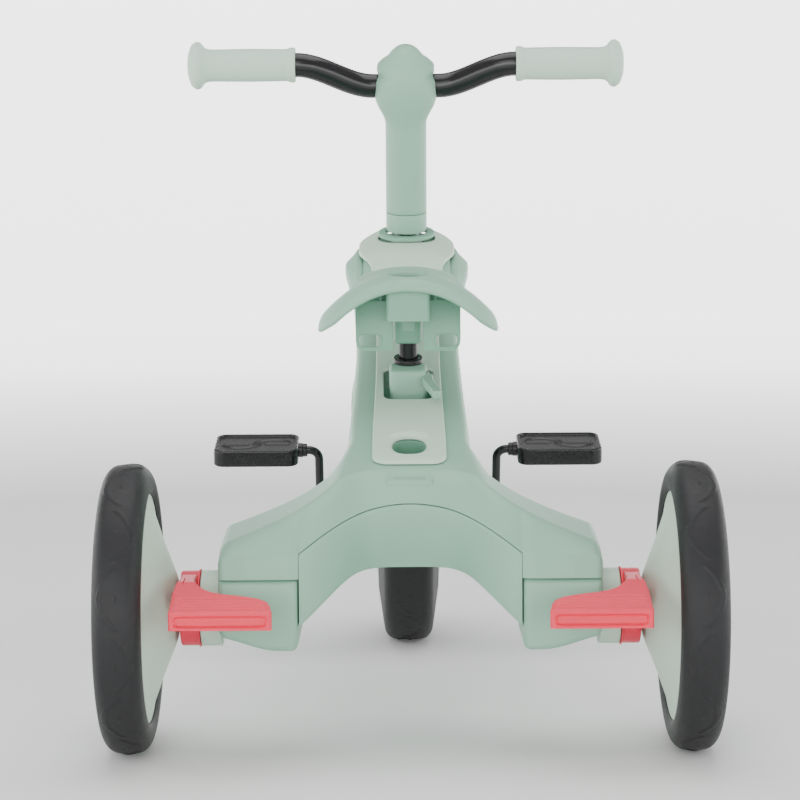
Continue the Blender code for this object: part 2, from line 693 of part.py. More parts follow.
def build_leg(frame, side, word):
    """The cap over the arm's end, the leg under it, the axle and the axle's boss."""
    axle_z = REAR_WHEEL_R
    seam = axle_z + LEG_SEAM_RISE
    near = ARM_END_X + 0.0005
    rings = []
    for x in np.linspace(near, LEG_END_X, 8):
        share = (x - near) / (LEG_END_X - near)
        crest = arm_top_z(x) + 0.0005 - 0.004 * share ** 3
        rear = LEG_REAR_Y + 0.004 * (1.0 - share)
        edge = min(seam_z(ARM_END_X), crest - 0.004) - 0.002 * share
        ring = [(x, rear, seam + GAP), (x, rear, edge - 0.004), (x, rear + 0.003, edge + 0.002),
                (x, rear + 0.009, crest - 0.003), (x, rear + 0.018, crest - 0.0005),
                (x, 0.0, crest), (x, LEG_FRONT_Y - 0.014, crest),
                (x, LEG_FRONT_Y - 0.004, crest - 0.004), (x, LEG_FRONT_Y, crest - 0.012),
                (x, LEG_FRONT_Y, seam + GAP)]
        rings.append([(side * a, b, c) for a, b, c in ring])
    cap = piece("arm_cap_" + word, loft(rings), "body_mint", frame)
    room = extruded(rounded_box_outline(0.5 * (LEG_END_X - near) - SHELL_WALL, 0.040, 0.004),
                    seam - 0.01, axle_z + 0.044, "xy")
    middle = Matrix.Translation((side * 0.5 * (near + LEG_END_X), 0.5 * (LEG_REAR_Y + LEG_FRONT_Y), 0.0))
    combined(cap, tool("cap_room_" + word, moved(room, middle), frame), "DIFFERENCE")

    rings = []
    for share in np.linspace(0.0, 1.0, 9):
        x = near + (LEG_END_X - near) * share
        drop = LEG_DROP * (1.0 - 0.42 * smooth_step((share - 0.25) / 0.85))
        bottom = axle_z - drop
        rear = LEG_REAR_Y + 0.004 * (1.0 - share)
        ring = [(x, rear, seam), (x, rear, bottom + 0.008), (x, rear + 0.008, bottom),
                (x, LEG_FRONT_Y - 0.008, bottom), (x, LEG_FRONT_Y, bottom + 0.008),
                (x, LEG_FRONT_Y, seam)]
        rings.append([(side * a, b, c) for a, b, c in ring])
    leg = piece("rear_leg_" + word, loft(rings), "body_mint", frame)
    bore = rod_between((side * (near - 0.02), 0.0, axle_z), (side * (LEG_END_X + 0.02), 0.0, axle_z),
                       AXLE_R + GAP)
    combined(leg, tool("axle_bore_" + word, bore, frame), "DIFFERENCE")

    boss_in = LEG_END_X + GAP
    boss = [(boss_in, AXLE_R + GAP), (boss_in, BOSS_R), (BOSS_END_X - 0.001, BOSS_R),
            (BOSS_END_X, BOSS_R - 0.001), (BOSS_END_X, AXLE_R + GAP)]
    place = Matrix.Translation((0.0, 0.0, axle_z))
    points, faces = turned([(side * x, r) for x, r in boss], 24)
    piece("axle_boss_" + word, moved((points, faces), place), "pale_mint", frame)

    axle = rod_between((side * (near + 0.010), 0.0, axle_z), (side * AXLE_END_X, 0.0, axle_z), AXLE_R)
    piece("rear_axle_" + word, axle, "steel", frame)


# ---------------------------------------------------------------- rear wheels and brakes

def build_rear_wheel(frame, side, word):
    """Tyre, dished core, outer cap, bush and nut on one spinning empty."""
    spin = empty("rear_wheel_%s_axis" % word, frame, (side * TRACK / 2.0, 0.0, REAR_WHEEL_R))
    radius, half = REAR_WHEEL_R, REAR_TYRE_W / 2.0
    bead = radius - REAR_TYRE_DEPTH
    tyre = [(-half + 0.0015, bead), (-half, bead + 0.004), (-half, radius - 0.009),
            (-half + 0.0045, radius - 0.0022), (0.0, radius), (half - 0.0045, radius - 0.0022),
            (half, radius - 0.009), (half, bead + 0.004), (half - 0.0015, bead)]
    piece("rear_tyre_" + word, turned(tyre, WHEEL_STEPS), "tyre_black", spin)

    rim = bead - GAP
    bore = AXLE_R + RUNNING + BUSH_WALL
    lip = half - 0.003
    depth = REAR_DISH_DEPTH
    run = rim - 0.0112 - 0.030
    outside = [(-lip, rim), (-lip - 0.002, rim - 0.0112)]
    for share in (0.5, 1.0):
        outside.append((-lip - 0.002 - (depth - 0.0028 - lip - 0.002) * share,
                        rim - 0.0112 - run * share))
    outside += [(-depth, REAR_HUB_R), (-depth, bore)]
    inside = [(0.0035, bore), (0.0035, bore + 0.005), (0.003 - depth, REAR_HUB_R - 0.004)]
    inside += [(x + SHELL_WALL, r - 0.0005) for x, r in outside[-3:1:-1]]
    inside += [(-lip + SHELL_WALL, rim - SHELL_WALL), (lip, rim - SHELL_WALL), (lip, rim)]
    dish = [(side * x, r) for x, r in outside + inside]
    piece("rear_wheel_dish_" + word, turned(dish, WHEEL_STEPS), "pale_mint", spin)

    sleeve = [(-depth, AXLE_R + RUNNING), (-depth, bore - GAP), (0.0035, bore - GAP),
              (0.0035, AXLE_R + RUNNING)]
    piece("rear_wheel_bush_" + word, turned([(side * x, r) for x, r in sleeve], 16), "bush_white", spin)

    reach = rim - SHELL_WALL - GAP
    cap = [(lip - 0.0030, reach), (lip - 0.0005, reach), (lip + 0.0010, reach * 0.85),
           (lip + 0.0015, reach * 0.4)]
    points, faces = turned([(side * x, r) for x, r in cap], WHEEL_STEPS, closed=False)
    piece("rear_wheel_cap_" + word, (points, faces), "pale_mint", spin)

    flat = math.cos(math.pi / 6.0)
    nut = [(0.0045, (AXLE_R + GAP) / flat), (0.0045, 0.0095), (0.0085, 0.0095),
           (0.0085, (AXLE_R + GAP) / flat)]
    place = Matrix.Translation((side * TRACK / 2.0, 0.0, REAR_WHEEL_R))
    ring = turned([(side * x, r) for x, r in nut], 6)
    piece("axle_nut_" + word, moved(ring, place), "steel", frame)


def build_brake(frame, side, word):
    """The red brake lever: a collar on the axle and a foot plate behind it, with its shoe."""
    axis = empty("brake_%s_axis" % word, frame, (side * BOSS_END_X, 0.0, REAR_WHEEL_R))
    near = RUNNING
    far = COLLAR_W
    ring = [(near, AXLE_R + RUNNING), (near, BOSS_R), (far, BOSS_R), (far, AXLE_R + RUNNING)]
    lever = piece("brake_lever_" + word, turned([(side * x, r) for x, r in ring], 24), "brake_red", axis)

    inboard = PLATE_IN_X - BOSS_END_X
    outboard = far + 0.0020
    rear = PLATE_REAR_Y
    front = LEG_REAR_Y - 0.0030
    rows = [(-0.014, near, far, 0.0265, 0.0120), (front + 0.006, near, far, 0.0290, 0.0180),
            (front, near - 0.010, far + 0.001, 0.0285, 0.0185),
            (front - 0.003, inboard + 0.004, outboard, 0.0275, 0.0190),
            (front - 0.009, inboard, outboard, 0.0255, 0.0180),
            (rear + 0.0090, inboard, outboard, 0.0160, 0.0095),
            (rear + 0.0085, inboard, outboard, 0.0158, 0.0),
            (rear, inboard, outboard, 0.0130, 0.0)]
    rings = [[(side * low, y, bottom), (side * high, y, bottom), (side * high, y, top), (side * low, y, top)]
             for y, low, high, top, bottom in rows]
    plate = tool("brake_plate_" + word, loft(rings), axis)
    bevelled(plate, 0.0015, 1)
    combined(lever, plate, "UNION")

    low, high = far - 0.001, far + 0.0042
    shoe = extruded([(-0.041, 0.006), (-0.031, 0.006), (-0.031, 0.018), (-0.041, 0.018)],
                    side * low, side * high, "yz")
    combined(lever, tool("brake_shoe_" + word, shoe, axis), "UNION")


# ---------------------------------------------------------------- head and steering

def build_head(frame):
    """Head tube and the two bushes that the steerer turns in."""
    head = empty("head", frame, (0.0, WHEELBASE, FRONT_WHEEL_R), (RAKE, 0.0, 0.0))
    bush_in = STEERER_R + RUNNING
    bush_out = bush_in + BUSH_WALL
    flange = 0.002
    tube_low = HEAD_S + flange + GAP
    tube_high = HEAD_TOP_S - HOOD_THICK - flange - GAP
    tube = [(tube_low, bush_out + GAP), (tube_low, HEAD_TUBE_R), (tube_high, HEAD_TUBE_R),
            (tube_high, bush_out + GAP)]
    piece("head_tube", upright(tube, 20, True), "steel", head)
    for word, start, way in (("lower", tube_low - GAP, 1.0), ("upper", tube_high + GAP, -1.0)):
        bush = [(start - way * flange, bush_in), (start - way * flange, HEAD_TUBE_R),
                (start, HEAD_TUBE_R), (start, bush_out), (start + way * 0.016, bush_out),
                (start + way * 0.016, bush_in)]
        piece("head_bush_" + word, upright(bush, 20, True), "bush_white", head)


def stem_section(s, half_x, half_y, front):
    """Half of the column's cross-section at s, behind the steering axis or ahead of it."""
    ring = []
    for step in range(13):
        turn = math.pi * step / 12.0
        c, n = math.cos(turn), math.sin(turn)
        x = half_x * math.copysign(abs(c) ** 0.85, c)
        ring.append((x, (1.0 if front else -1.0) * (half_y * n ** 0.85 + 0.5 * GAP), s))
    return ring


def build_steering(frame):
    """Everything that turns with the handlebar."""
    steering = empty("steering_axis", frame, (0.0, WHEELBASE, FRONT_WHEEL_R), (RAKE, 0.0, 0.0))
    crown_top = HEAD_S - RUNNING
    steerer_low = crown_top - 0.016
    steerer_high = STEM_S + 0.012
    build_fork(steering, crown_top, steerer_low)
    rod = rod_between((0.0, 0.0, steerer_low), (0.0, 0.0, steerer_high), STEERER_R)
    piece("steerer_tube", rod, "steel", steering)

    foot = HEAD_TOP_S + 0.0030
    collar = [[(x, y, s) for x, y in oval_outline(COLUMN_HALF + extra, COLUMN_DEPTH + extra, 32)]
              for s, extra in ((foot, -0.0006), (foot + 0.001, 0.0), (COLUMN_S - GAP, 0.0))]
    bore = rod_between((0.0, 0.0, HEAD_TOP_S - 0.01), (0.0, 0.0, STEM_S + 0.013), STEERER_R + GAP)
    bore = tool("column_bore", bore, steering)
    combined(piece("column_collar", loft(collar), "body_mint", steering), bore, "DIFFERENCE")

    top = STEM_S + STEM_H
    levels = [(COLUMN_S, COLUMN_HALF, COLUMN_DEPTH), (STEM_S - 0.004, COLUMN_HALF, COLUMN_DEPTH),
              (STEM_S + 0.008, 0.0225, 0.0235), (STEM_S + 0.018, STEM_HALF - 0.0004, 0.0270),
              (STEM_S + 0.026, STEM_HALF, 0.0280), (BAR_S + 0.0075, STEM_HALF - 0.0012, 0.0280),
              (BAR_S + 0.0130, STEM_HALF - 0.0010, 0.0270), (BAR_S + 0.0190, STEM_HALF - 0.0040, 0.0245),
              (BAR_S + 0.0255, 0.0150, 0.0200), (top - 0.0050, 0.0120, 0.0170),
              (top - 0.0010, 0.0080, 0.0110), (top, 0.0040, 0.0060)]
    hole = rod_between((-0.05, 0.0, BAR_S), (0.05, 0.0, BAR_S), BAR_R + GAP)
    hole = tool("bar_bore", hole, steering)
    screw_s = BAR_S + 0.0215
    screw_hole = rod_between((0.0, -0.012, screw_s), (0.0, 0.012, screw_s), SCREW_R + GAP, 12)
    screw_hole = tool("stem_screw_bore", screw_hole, steering)
    for word, front in (("rear", False), ("front", True)):
        rings = [stem_section(s, a, b, front) for s, a, b in levels]
        half = piece("stem_cover_" + word, loft(rings), "body_mint", steering)
        for cut in (bore, hole, screw_hole):
            combined(half, cut, "DIFFERENCE")
    screw = rod_between((0.0, -0.0115, screw_s), (0.0, 0.0115, screw_s), SCREW_R, 12)
    piece("stem_screw", screw, "steel", steering)
    build_bar(steering)
    return steering


def build_fork(steering, crown_top, steerer_low):
    """The moulded fork: a crown over the tyre and two legs, each with its bush."""
    inner = FORK_LEG_IN
    outer = FORK_LEG_IN + FORK_LEG_W
    arch = FRONT_WHEEL_R + WHEEL_CLEARANCE
    bottom = -FORK_HALF_DEPTH
    outline = [(inner, bottom + 0.004), (inner + 0.004, bottom), (outer - 0.004, bottom),
               (outer, bottom + 0.004), (outer, arch - 0.018)]
    for step in range(1, 6):
        turn = math.radians(90.0) * step / 5.0
        outline.append((outer - 0.026 * (1.0 - math.cos(turn)),
                        arch - 0.018 + (crown_top - arch + 0.018) * math.sin(turn)))
    inside = []
    for step in range(5):
        turn = math.radians(90.0) * step / 4.0
        inside.append((inner - 0.014 * (1.0 - math.cos(turn)), arch - 0.014 + 0.014 * math.sin(turn)))
    right = outline + [(0.0, crown_top)]
    left = [(-x, s) for x, s in right[-2::-1]]
    loop = right + left + [(-x, s) for x, s in inside] + [(x, s) for x, s in inside[::-1]]
    fork = piece("fork", extruded(loop, -FORK_HALF_DEPTH, FORK_HALF_DEPTH, "xz"), "body_mint", steering)
    bevelled(fork, 0.003, 1)
    socket = rod_between((0.0, 0.0, steerer_low - GAP), (0.0, 0.0, crown_top + 0.02), STEERER_R + GAP)
    combined(fork, tool("steerer_socket", socket, steering), "DIFFERENCE")
    bush_out = CRANK_ROD_R + RUNNING + BUSH_WALL
    holes = rod_between((-outer - 0.02, 0.0, 0.0), (outer + 0.02, 0.0, 0.0), bush_out + GAP)
    combined(fork, tool("fork_bores", holes, steering), "DIFFERENCE")
    for side, word in ((-1.0, "left"), (1.0, "right")):
        ring = [(inner - 0.001, bush_out - BUSH_WALL), (inner - 0.001, bush_out), (outer + 0.0005, bush_out),
                (outer + 0.0005, bush_out - BUSH_WALL)]
        piece("fork_bush_" + word, turned([(side * x, r) for x, r in ring], 16), "bush_white", steering)


def build_bar(steering):
    """The bent handlebar and its two grips."""
    end = GRIP_SPAN / 2.0 - 0.008
    bend_in, bend_out = STEM_HALF + 0.0015, GRIP_SPAN / 2.0 - GRIP_LENGTH - 0.001
    half = [(0.0, 0.0, BAR_S), (bend_in, 0.0, BAR_S)]
    for share in np.linspace(0.0, 1.0, 9)[1:]:
        step = smooth_step(share)
        half.append((bend_in + (bend_out - bend_in) * share, -BAR_SETBACK * step, BAR_S + BAR_RISE * step))
    half.append((end, -BAR_SETBACK, BAR_S + BAR_RISE))
    path = [(-x, y, s) for x, y, s in half[:0:-1]] + half
    piece("handlebar", swept(path, BAR_R, 12), "bar_black", steering)
    profile = [(0.0, GRIP_R), (0.0015, GRIP_R + 0.0010), (0.0050, GRIP_R + 0.0010), (0.0075, GRIP_R - 0.0004),
               (0.040, GRIP_R + 0.0002), (0.076, GRIP_R - 0.0004), (0.0815, GRIP_R + 0.0006),
               (0.0855, GRIP_FLANGE_R - 0.0010), (0.0885, GRIP_FLANGE_R), (0.0940, GRIP_FLANGE_R - 0.0035),
               (GRIP_LENGTH, 0.0090)]
    start = GRIP_SPAN / 2.0 - GRIP_LENGTH
    place = Matrix.Translation((0.0, -BAR_SETBACK, BAR_S + BAR_RISE))
    for side, word in ((-1.0, "left"), (1.0, "right")):
        body = turned([(side * (start + x), r) for x, r in profile], 20, closed=False)
        grip = piece("grip_" + word, moved(body, place), "grip_mint", steering)
        hole = rod_between((side * (start - 0.02), 0.0, 0.0), (side * (end + GAP), 0.0, 0.0), BAR_R + GAP)
        combined(grip, tool("grip_bore_" + word, moved(hole, place), steering), "DIFFERENCE")


# ---------------------------------------------------------------- front wheel, cranks, pedals

def build_front_wheel(steering):
    """Tyre, two side discs and the hub tube that takes the crank spindles."""
    spin = empty("front_wheel_axis", steering, (0.0, 0.0, 0.0))
    radius, half = FRONT_WHEEL_R, FRONT_TYRE_W / 2.0
    bead = radius - FRONT_TYRE_DEPTH
    flank = half + FRONT_TYRE_FLARE
    side = [(flank - 0.002, bead), (flank, bead + 0.004), (half + 0.0005, radius - 0.022),
            (half - 0.0015, radius - 0.010), (half - 0.008, radius - 0.0025)]
    tyre = [(-x, r) for x, r in side] + [(0.0, radius)] + side[::-1]
    piece("front_tyre", turned(tyre, WHEEL_STEPS), "tyre_black", spin)
    rim = bead - GAP
    hub_r = CRANK_ROD_R + RUNNING + 0.0040
    face = FRONT_HUB_HALF
    outside = [(0.0005, rim), (flank - 0.002, rim), (flank, rim - 0.005), (face - 0.0015, rim - 0.030),
               (face, FRONT_HUB_R), (face, hub_r + GAP)]
    inside = [(face - SHELL_WALL, hub_r + GAP), (face - 0.0045, rim - 0.032),
              (flank - SHELL_WALL, rim - 0.008), (flank - 0.005, rim - SHELL_WALL),
              (0.0005, rim - SHELL_WALL)]
    for side, word in ((-1.0, "left"), (1.0, "right")):
        ring = [(side * x, r) for x, r in outside + inside]
        piece("front_wheel_disc_" + word, turned(ring, WHEEL_STEPS), "pale_mint", spin)
    hub = [(0.001 - face, hub_r - 0.0040), (0.001 - face, hub_r), (face - 0.001, hub_r),
           (face - 0.001, hub_r - 0.0040)]
    piece("front_hub", turned(hub, 24), "steel", spin)


def crank_path(side):
    """Middle line of a crank: spindle, throw and pedal spindle, with round bends."""
    bend = CRANK_BEND_R
    path = [(0.004, 0.0), (0.5 * CRANK_X, 0.0)]
    for step in range(6):
        turn = math.radians(90.0) * step / 5.0
        path.append((CRANK_X - bend + bend * math.sin(turn), bend - bend * math.cos(turn)))
    path.append((CRANK_X, 0.5 * CRANK_LENGTH))
    for step in range(6):
        turn = math.radians(90.0) * step / 5.0
        path.append((CRANK_X + bend - bend * math.cos(turn), CRANK_LENGTH - bend + bend * math.sin(turn)))
    path.append((PEDAL_IN_X + 0.062, CRANK_LENGTH))
    return [(side * x, 0.0, z) for x, z in path]


def build_crank(steering, side, word):
    """One bent crank on the front axle and the pedal that turns on its outer end."""
    axis = empty("crank_%s_axis" % word, steering, (0.0, 0.0, 0.0), (CRANK_LEAN - RAKE, 0.0, 0.0))
    piece("crank_" + word, swept(crank_path(side), CRANK_ROD_R, 10), "bar_black", axis)
    tilt = PEDAL_TILT - CRANK_LEAN
    pedal_axis = empty("pedal_%s_axis" % word, axis, (0.0, 0.0, CRANK_LENGTH), (tilt, 0.0, 0.0))
    middle = PEDAL_IN_X + PEDAL_LENGTH / 2.0
    plan = rounded_box_outline(PEDAL_LENGTH / 2.0, PEDAL_HALF_W, 0.009, 5)
    plan = [(side * middle + x, y) for x, y in plan]
    block = extruded(plan, -PEDAL_HALF_T, PEDAL_HALF_T, "xy")
    pedal = piece("pedal_" + word, block, "pedal_black", pedal_axis)
    bevelled(pedal, 0.0025, 1)
    neck = rod_between((side * (PEDAL_IN_X - PEDAL_NECK_L), 0.0, 0.0),
                       (side * (PEDAL_IN_X + 0.006), 0.0, 0.0),
                       PEDAL_NECK_R)
    combined(pedal, tool("pedal_neck_" + word, neck, pedal_axis), "UNION")
    hole = rod_between((side * (PEDAL_IN_X - 0.03), 0.0, 0.0), (side * (PEDAL_IN_X + 0.063), 0.0, 0.0),
                       CRANK_ROD_R + RUNNING)
    combined(pedal, tool("pedal_bore_" + word, hole, pedal_axis), "DIFFERENCE")


# ---------------------------------------------------------------- seat and its clamp

def saddle_height(x, share):
    """Top of the saddle over the post's foot, from its rear edge (0) to its nose (1)."""
    lip = 0.016 * max(0.0, 1.0 - share / 0.16) ** 2
    dip = 0.006 * math.sin(math.pi * min(max((share - 0.16) / 0.6, 0.0), 1.0)) ** 2
    nose = 0.012 * max(0.0, (share - 0.72) / 0.28) ** 2
    droop = SEAT_DROOP * (1.0 - 0.45 * share) * (2.0 * abs(x) / SEAT_WIDTH) ** 2.2
    return SEAT_RISE - lip - dip - nose - droop


def saddle_half(share):
    """Half width of the saddle: full behind the middle, narrow at the nose."""
    narrow = 0.46 * smooth_step((share - 0.22) / 0.6)
    rear_corner = 0.22 * max(0.0, 1.0 - share / 0.10) ** 2
    nose_corner = 0.34 * max(0.0, (share - 0.88) / 0.12) ** 2
    return 0.5 * SEAT_WIDTH * (1.0 - narrow - rear_corner - nose_corner)


def saddle_under(x, y):
    """Underside of the saddle over the post's foot at a place under it."""
    share = min(max((y - SEAT_REAR) / SEAT_LENGTH, 0.0), 1.0)
    return saddle_height(x, share) - SEAT_THICK


def build_seat(frame):
    """Saddle, bracket with the backrest's socket, post head and post, on the post's slide."""
    seat = empty("seat_slide", frame, (0.0, POST_Y, deck_z(POST_Y)))
    columns = np.linspace(-1.0, 1.0, 11)
    rings = []
    for share in (0.0, 0.04, 0.09, 0.16, 0.28, 0.42, 0.56, 0.70, 0.82, 0.91, 0.96, 1.0):
        y = SEAT_REAR + SEAT_LENGTH * share
        half = saddle_half(share)
        top = [(half * part, y, saddle_height(half * part, share)) for part in columns]
        under = [(x, y, z - SEAT_THICK) for x, y, z in top[::-1]]
        rings.append(top + under)
    saddle = piece("saddle", loft(rings), "body_mint", seat)
    hole = upright([(-0.05, SEAT_HOLE_R), (0.05, SEAT_HOLE_R)], 32)
    hole_y = SEAT_REAR + 0.026
    place = Matrix.Translation((0.0, hole_y, SEAT_RISE)) @ Matrix.Rotation(math.radians(8.0), 4, "X")
    combined(saddle, tool("backrest_hole", moved(hole, place), seat), "DIFFERENCE")
    build_bracket(seat, hole_y)

    lean_turn = Matrix.Rotation(POST_LEAN, 4, "X")
    post = moved(rod_between((0.0, 0.0, POST_LOW_S), (0.0, 0.0, POST_HEAD_S + 0.030), POST_R), lean_turn)
    piece("seat_post", post, "bar_black", seat)
    outline = rounded_box_outline(0.0113, 0.0150, 0.005)
    block = piece("post_head", moved(extruded(outline, POST_HEAD_S, POST_HEAD_S + 0.038, "xy"), lean_turn),
                  "deep_mint", seat)
    hole = rod_between((0.0, 0.0, POST_HEAD_S - 0.02), (0.0, 0.0, POST_HEAD_S + 0.030 + GAP), POST_R + GAP)
    combined(block, tool("post_head_bore", moved(hole, lean_turn), seat), "DIFFERENCE")


def build_bracket(seat, hole_y):
    """The bracket under the saddle: a plate with two slots and the backrest's socket."""
    plate_y = hole_y + BACKREST_HALF + 0.0045
    low = BRACKET_LOW
    outline = [(BAY_HALF, low), (PLATE_HALF - 0.010, low)]
    for step in range(1, 5):
        turn = math.radians(90.0) * step / 4.0
        outline.append((PLATE_HALF - 0.010 + 0.010 * math.sin(turn), low + 0.010 - 0.010 * math.cos(turn)))
    for x in np.linspace(PLATE_HALF, BAY_HALF, 5):
        outline.append((x, saddle_under(x, plate_y) - 0.0018))
    ledge = SEAT_RISE - SEAT_THICK - 0.0290
    outline += [(0.0, saddle_under(0.0, plate_y) - 0.0018)]
    loop = outline + [(-x, z) for x, z in outline[-2::-1]] + [(-BAY_HALF, ledge), (BAY_HALF, ledge)]
    plate = extruded(loop, plate_y - PLATE_THICK / 2.0, plate_y + PLATE_THICK / 2.0, "xz")
    bracket = piece("seat_bracket", plate, "deep_mint", seat)
    slot = rounded_box_outline(0.0088, 0.0050, 0.0045)
    for side, word in ((-1.0, "left"), (1.0, "right")):
        shape = [(side * (PLATE_HALF - 0.0115) + x, low + 0.0085 + z) for x, z in slot]
        cut = extruded(shape, plate_y - 0.02, plate_y + 0.02, "xz")
        combined(bracket, tool("bracket_slot_" + word, cut, seat), "DIFFERENCE")
    wall = 0.0026
    half = BACKREST_HALF + wall
    outer = rounded_box_outline(half, half, 0.004)
    inner = rounded_box_outline(BACKREST_HALF, BACKREST_HALF, 0.003)
    high = saddle_under(0.0, hole_y - half) - 0.0015
    box = [(x, hole_y + y) for x, y in outer]
    box = tool("backrest_socket", extruded(box, ledge - 0.0010, high, "xy"), seat)
    combined(bracket, box, "UNION")
    room = [(x, hole_y + y) for x, y in inner]
    room = tool("backrest_room", extruded(room, ledge - 0.02, high + 0.02, "xy"), seat)
    combined(bracket, room, "DIFFERENCE")


def build_clamp(frame):
    """Seat tube, shim, clamp collar with its bolt, and the quick-release lever on its pin."""
    post = empty("post_foot", frame, (0.0, POST_Y, deck_z(POST_Y)), (POST_LEAN, 0.0, 0.0))
    tube = [(SEAT_TUBE_LOW_S, SHIM_R + GAP), (SEAT_TUBE_LOW_S, SHIM_R + GAP + SEAT_TUBE_WALL),
            (-0.0045, SHIM_R + GAP + SEAT_TUBE_WALL), (-0.0045, SHIM_R + GAP)]
    piece("seat_tube", upright(tube, 20, True), "steel", post)
    collar_low = 0.0020
    collar_high = collar_low + COLLAR_H
    shim = [(-0.020, POST_R + GAP), (-0.020, SHIM_R), (collar_high + SHIM_STANDS, SHIM_R),
            (collar_high + SHIM_STANDS, POST_R + GAP)]
    piece("post_shim", upright(shim, 20, True), "pedal_black", post)

    ring = [(collar_low, SHIM_R + GAP), (collar_low, COLLAR_R), (collar_high, COLLAR_R),
            (collar_high, SHIM_R + GAP)]
    collar = piece("seat_clamp", upright(ring, 24, True), "body_mint", post)
    lug_low, lug_high = -COLLAR_R - LUG_DEPTH, -COLLAR_R + 0.0015
    outline = [(-LUG_HALF, lug_low), (LUG_HALF, lug_low), (LUG_HALF, lug_high), (-LUG_HALF, lug_high)]
    lugs = tool("clamp_lugs", extruded(outline, collar_low + 0.001, collar_high - 0.001, "xy"), post)
    combined(collar, lugs, "UNION")
    bolt_y = -COLLAR_R - 0.5 * LUG_DEPTH - 0.0005
    bolt_s = collar_low + 0.5 * COLLAR_H
    slit = extruded([(-0.0015, -0.06), (0.0015, -0.06), (0.0015, 0.0), (-0.0015, 0.0)],
                    collar_low - 0.01, collar_high + 0.01, "xy")
    combined(collar, tool("clamp_slit", slit, post), "DIFFERENCE")
    bore = rod_between((-0.03, bolt_y, bolt_s), (0.03, bolt_y, bolt_s), BOLT_R + GAP, 16)
    combined(collar, tool("clamp_bore", bore, post), "DIFFERENCE")
    bolt_left = -LUG_HALF - 0.0030
    bolt_right = LUG_HALF + 0.0052
    bolt = rod_between((bolt_left, bolt_y, bolt_s), (LUG_HALF - GAP, bolt_y, bolt_s), BOLT_R, 16)
    piece("clamp_bolt", bolt, "steel", post)

    pin_x = bolt_right
    lever = empty("lever_axis", post, (pin_x, bolt_y, bolt_s))
    reach = ((0.0, 0.0045, 0.0048), (-0.010, 0.0048, 0.0046), (-0.022, 0.0070, 0.0040),
             (-0.033, 0.0105, 0.0040), (-0.040, 0.0120, 0.0042), (-0.043, 0.0120, 0.0030))
    rings = []
    for along, middle, half in ((0.0052, 0.0, 0.0026),) + tuple((a, m - 0.0045, h) for a, m, h in reach):
        rings.append([(middle - half, along, -0.0035), (middle + half, along, -0.0035),
                      (middle + half, along, 0.0035), (middle - half, along, 0.0035)])
    handle = piece("release_lever", loft(rings), "body_mint", lever)
    bevelled(handle, 0.0012, 1)
    hole = rod_between((0.0, 0.0, -0.02), (0.0, 0.0, 0.02), PIN_R + RUNNING, 12)
    combined(handle, tool("lever_bore", hole, lever), "DIFFERENCE")
    pin = rod_between((pin_x, bolt_y, bolt_s - 0.0055), (pin_x, bolt_y, bolt_s + 0.0055), PIN_R, 12)
    piece("lever_pin", pin, "steel", post)


# ---------------------------------------------------------------- the whole tricycle

def main():
    """Clear the scene and build every piece in order."""
    for old in list(bpy.data.objects):
        bpy.data.objects.remove(old, do_unlink=True)
    for slot, (colour, roughness, metallic) in FINISHES.items():
        MATERIALS[slot] = finish(slot, colour, roughness, metallic)
    frame = empty("frame_axis", None, (0.0, AXLE_Y, 0.0))
    build_frame(frame)
    build_deck(frame)
    build_hood(frame)
    build_head(frame)
    for side, word in ((-1.0, "left"), (1.0, "right")):
        build_leg(frame, side, word)
        build_rear_wheel(frame, side, word)
        build_brake(frame, side, word)
    steering = build_steering(frame)
    build_front_wheel(steering)
    for side, word in ((-1.0, "left"), (1.0, "right")):
        build_crank(steering, side, word)
    build_clamp(frame)
    build_seat(frame)


MATERIALS = {}
main()
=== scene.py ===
"""The looks of a child's ride-on tricycle: most pieces re-made with their real curves and edges, and every
piece given a procedural finish.
"""

import logging
import math
from dataclasses import dataclass
from enum import Enum
from typing import Callable, Dict, Iterable, List, Optional, Sequence, Tuple

import bmesh
import bpy
import numpy as np
from mathutils import Matrix, Vector


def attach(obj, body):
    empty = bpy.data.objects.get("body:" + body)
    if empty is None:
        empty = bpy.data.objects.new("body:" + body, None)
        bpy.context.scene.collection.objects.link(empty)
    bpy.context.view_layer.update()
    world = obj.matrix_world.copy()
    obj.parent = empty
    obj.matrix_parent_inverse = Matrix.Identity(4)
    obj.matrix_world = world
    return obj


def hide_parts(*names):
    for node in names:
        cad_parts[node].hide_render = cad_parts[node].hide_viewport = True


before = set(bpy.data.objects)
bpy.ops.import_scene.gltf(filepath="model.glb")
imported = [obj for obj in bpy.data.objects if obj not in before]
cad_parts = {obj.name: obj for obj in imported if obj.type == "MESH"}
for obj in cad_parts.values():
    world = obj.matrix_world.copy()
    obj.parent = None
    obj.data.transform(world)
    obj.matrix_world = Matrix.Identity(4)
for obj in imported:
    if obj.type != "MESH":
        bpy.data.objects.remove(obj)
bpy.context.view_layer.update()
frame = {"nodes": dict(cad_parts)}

LOG = logging.getLogger("tricycle")
Point2 = Tuple[float, float]


# ---------------------------------------------------------------- shared sizes

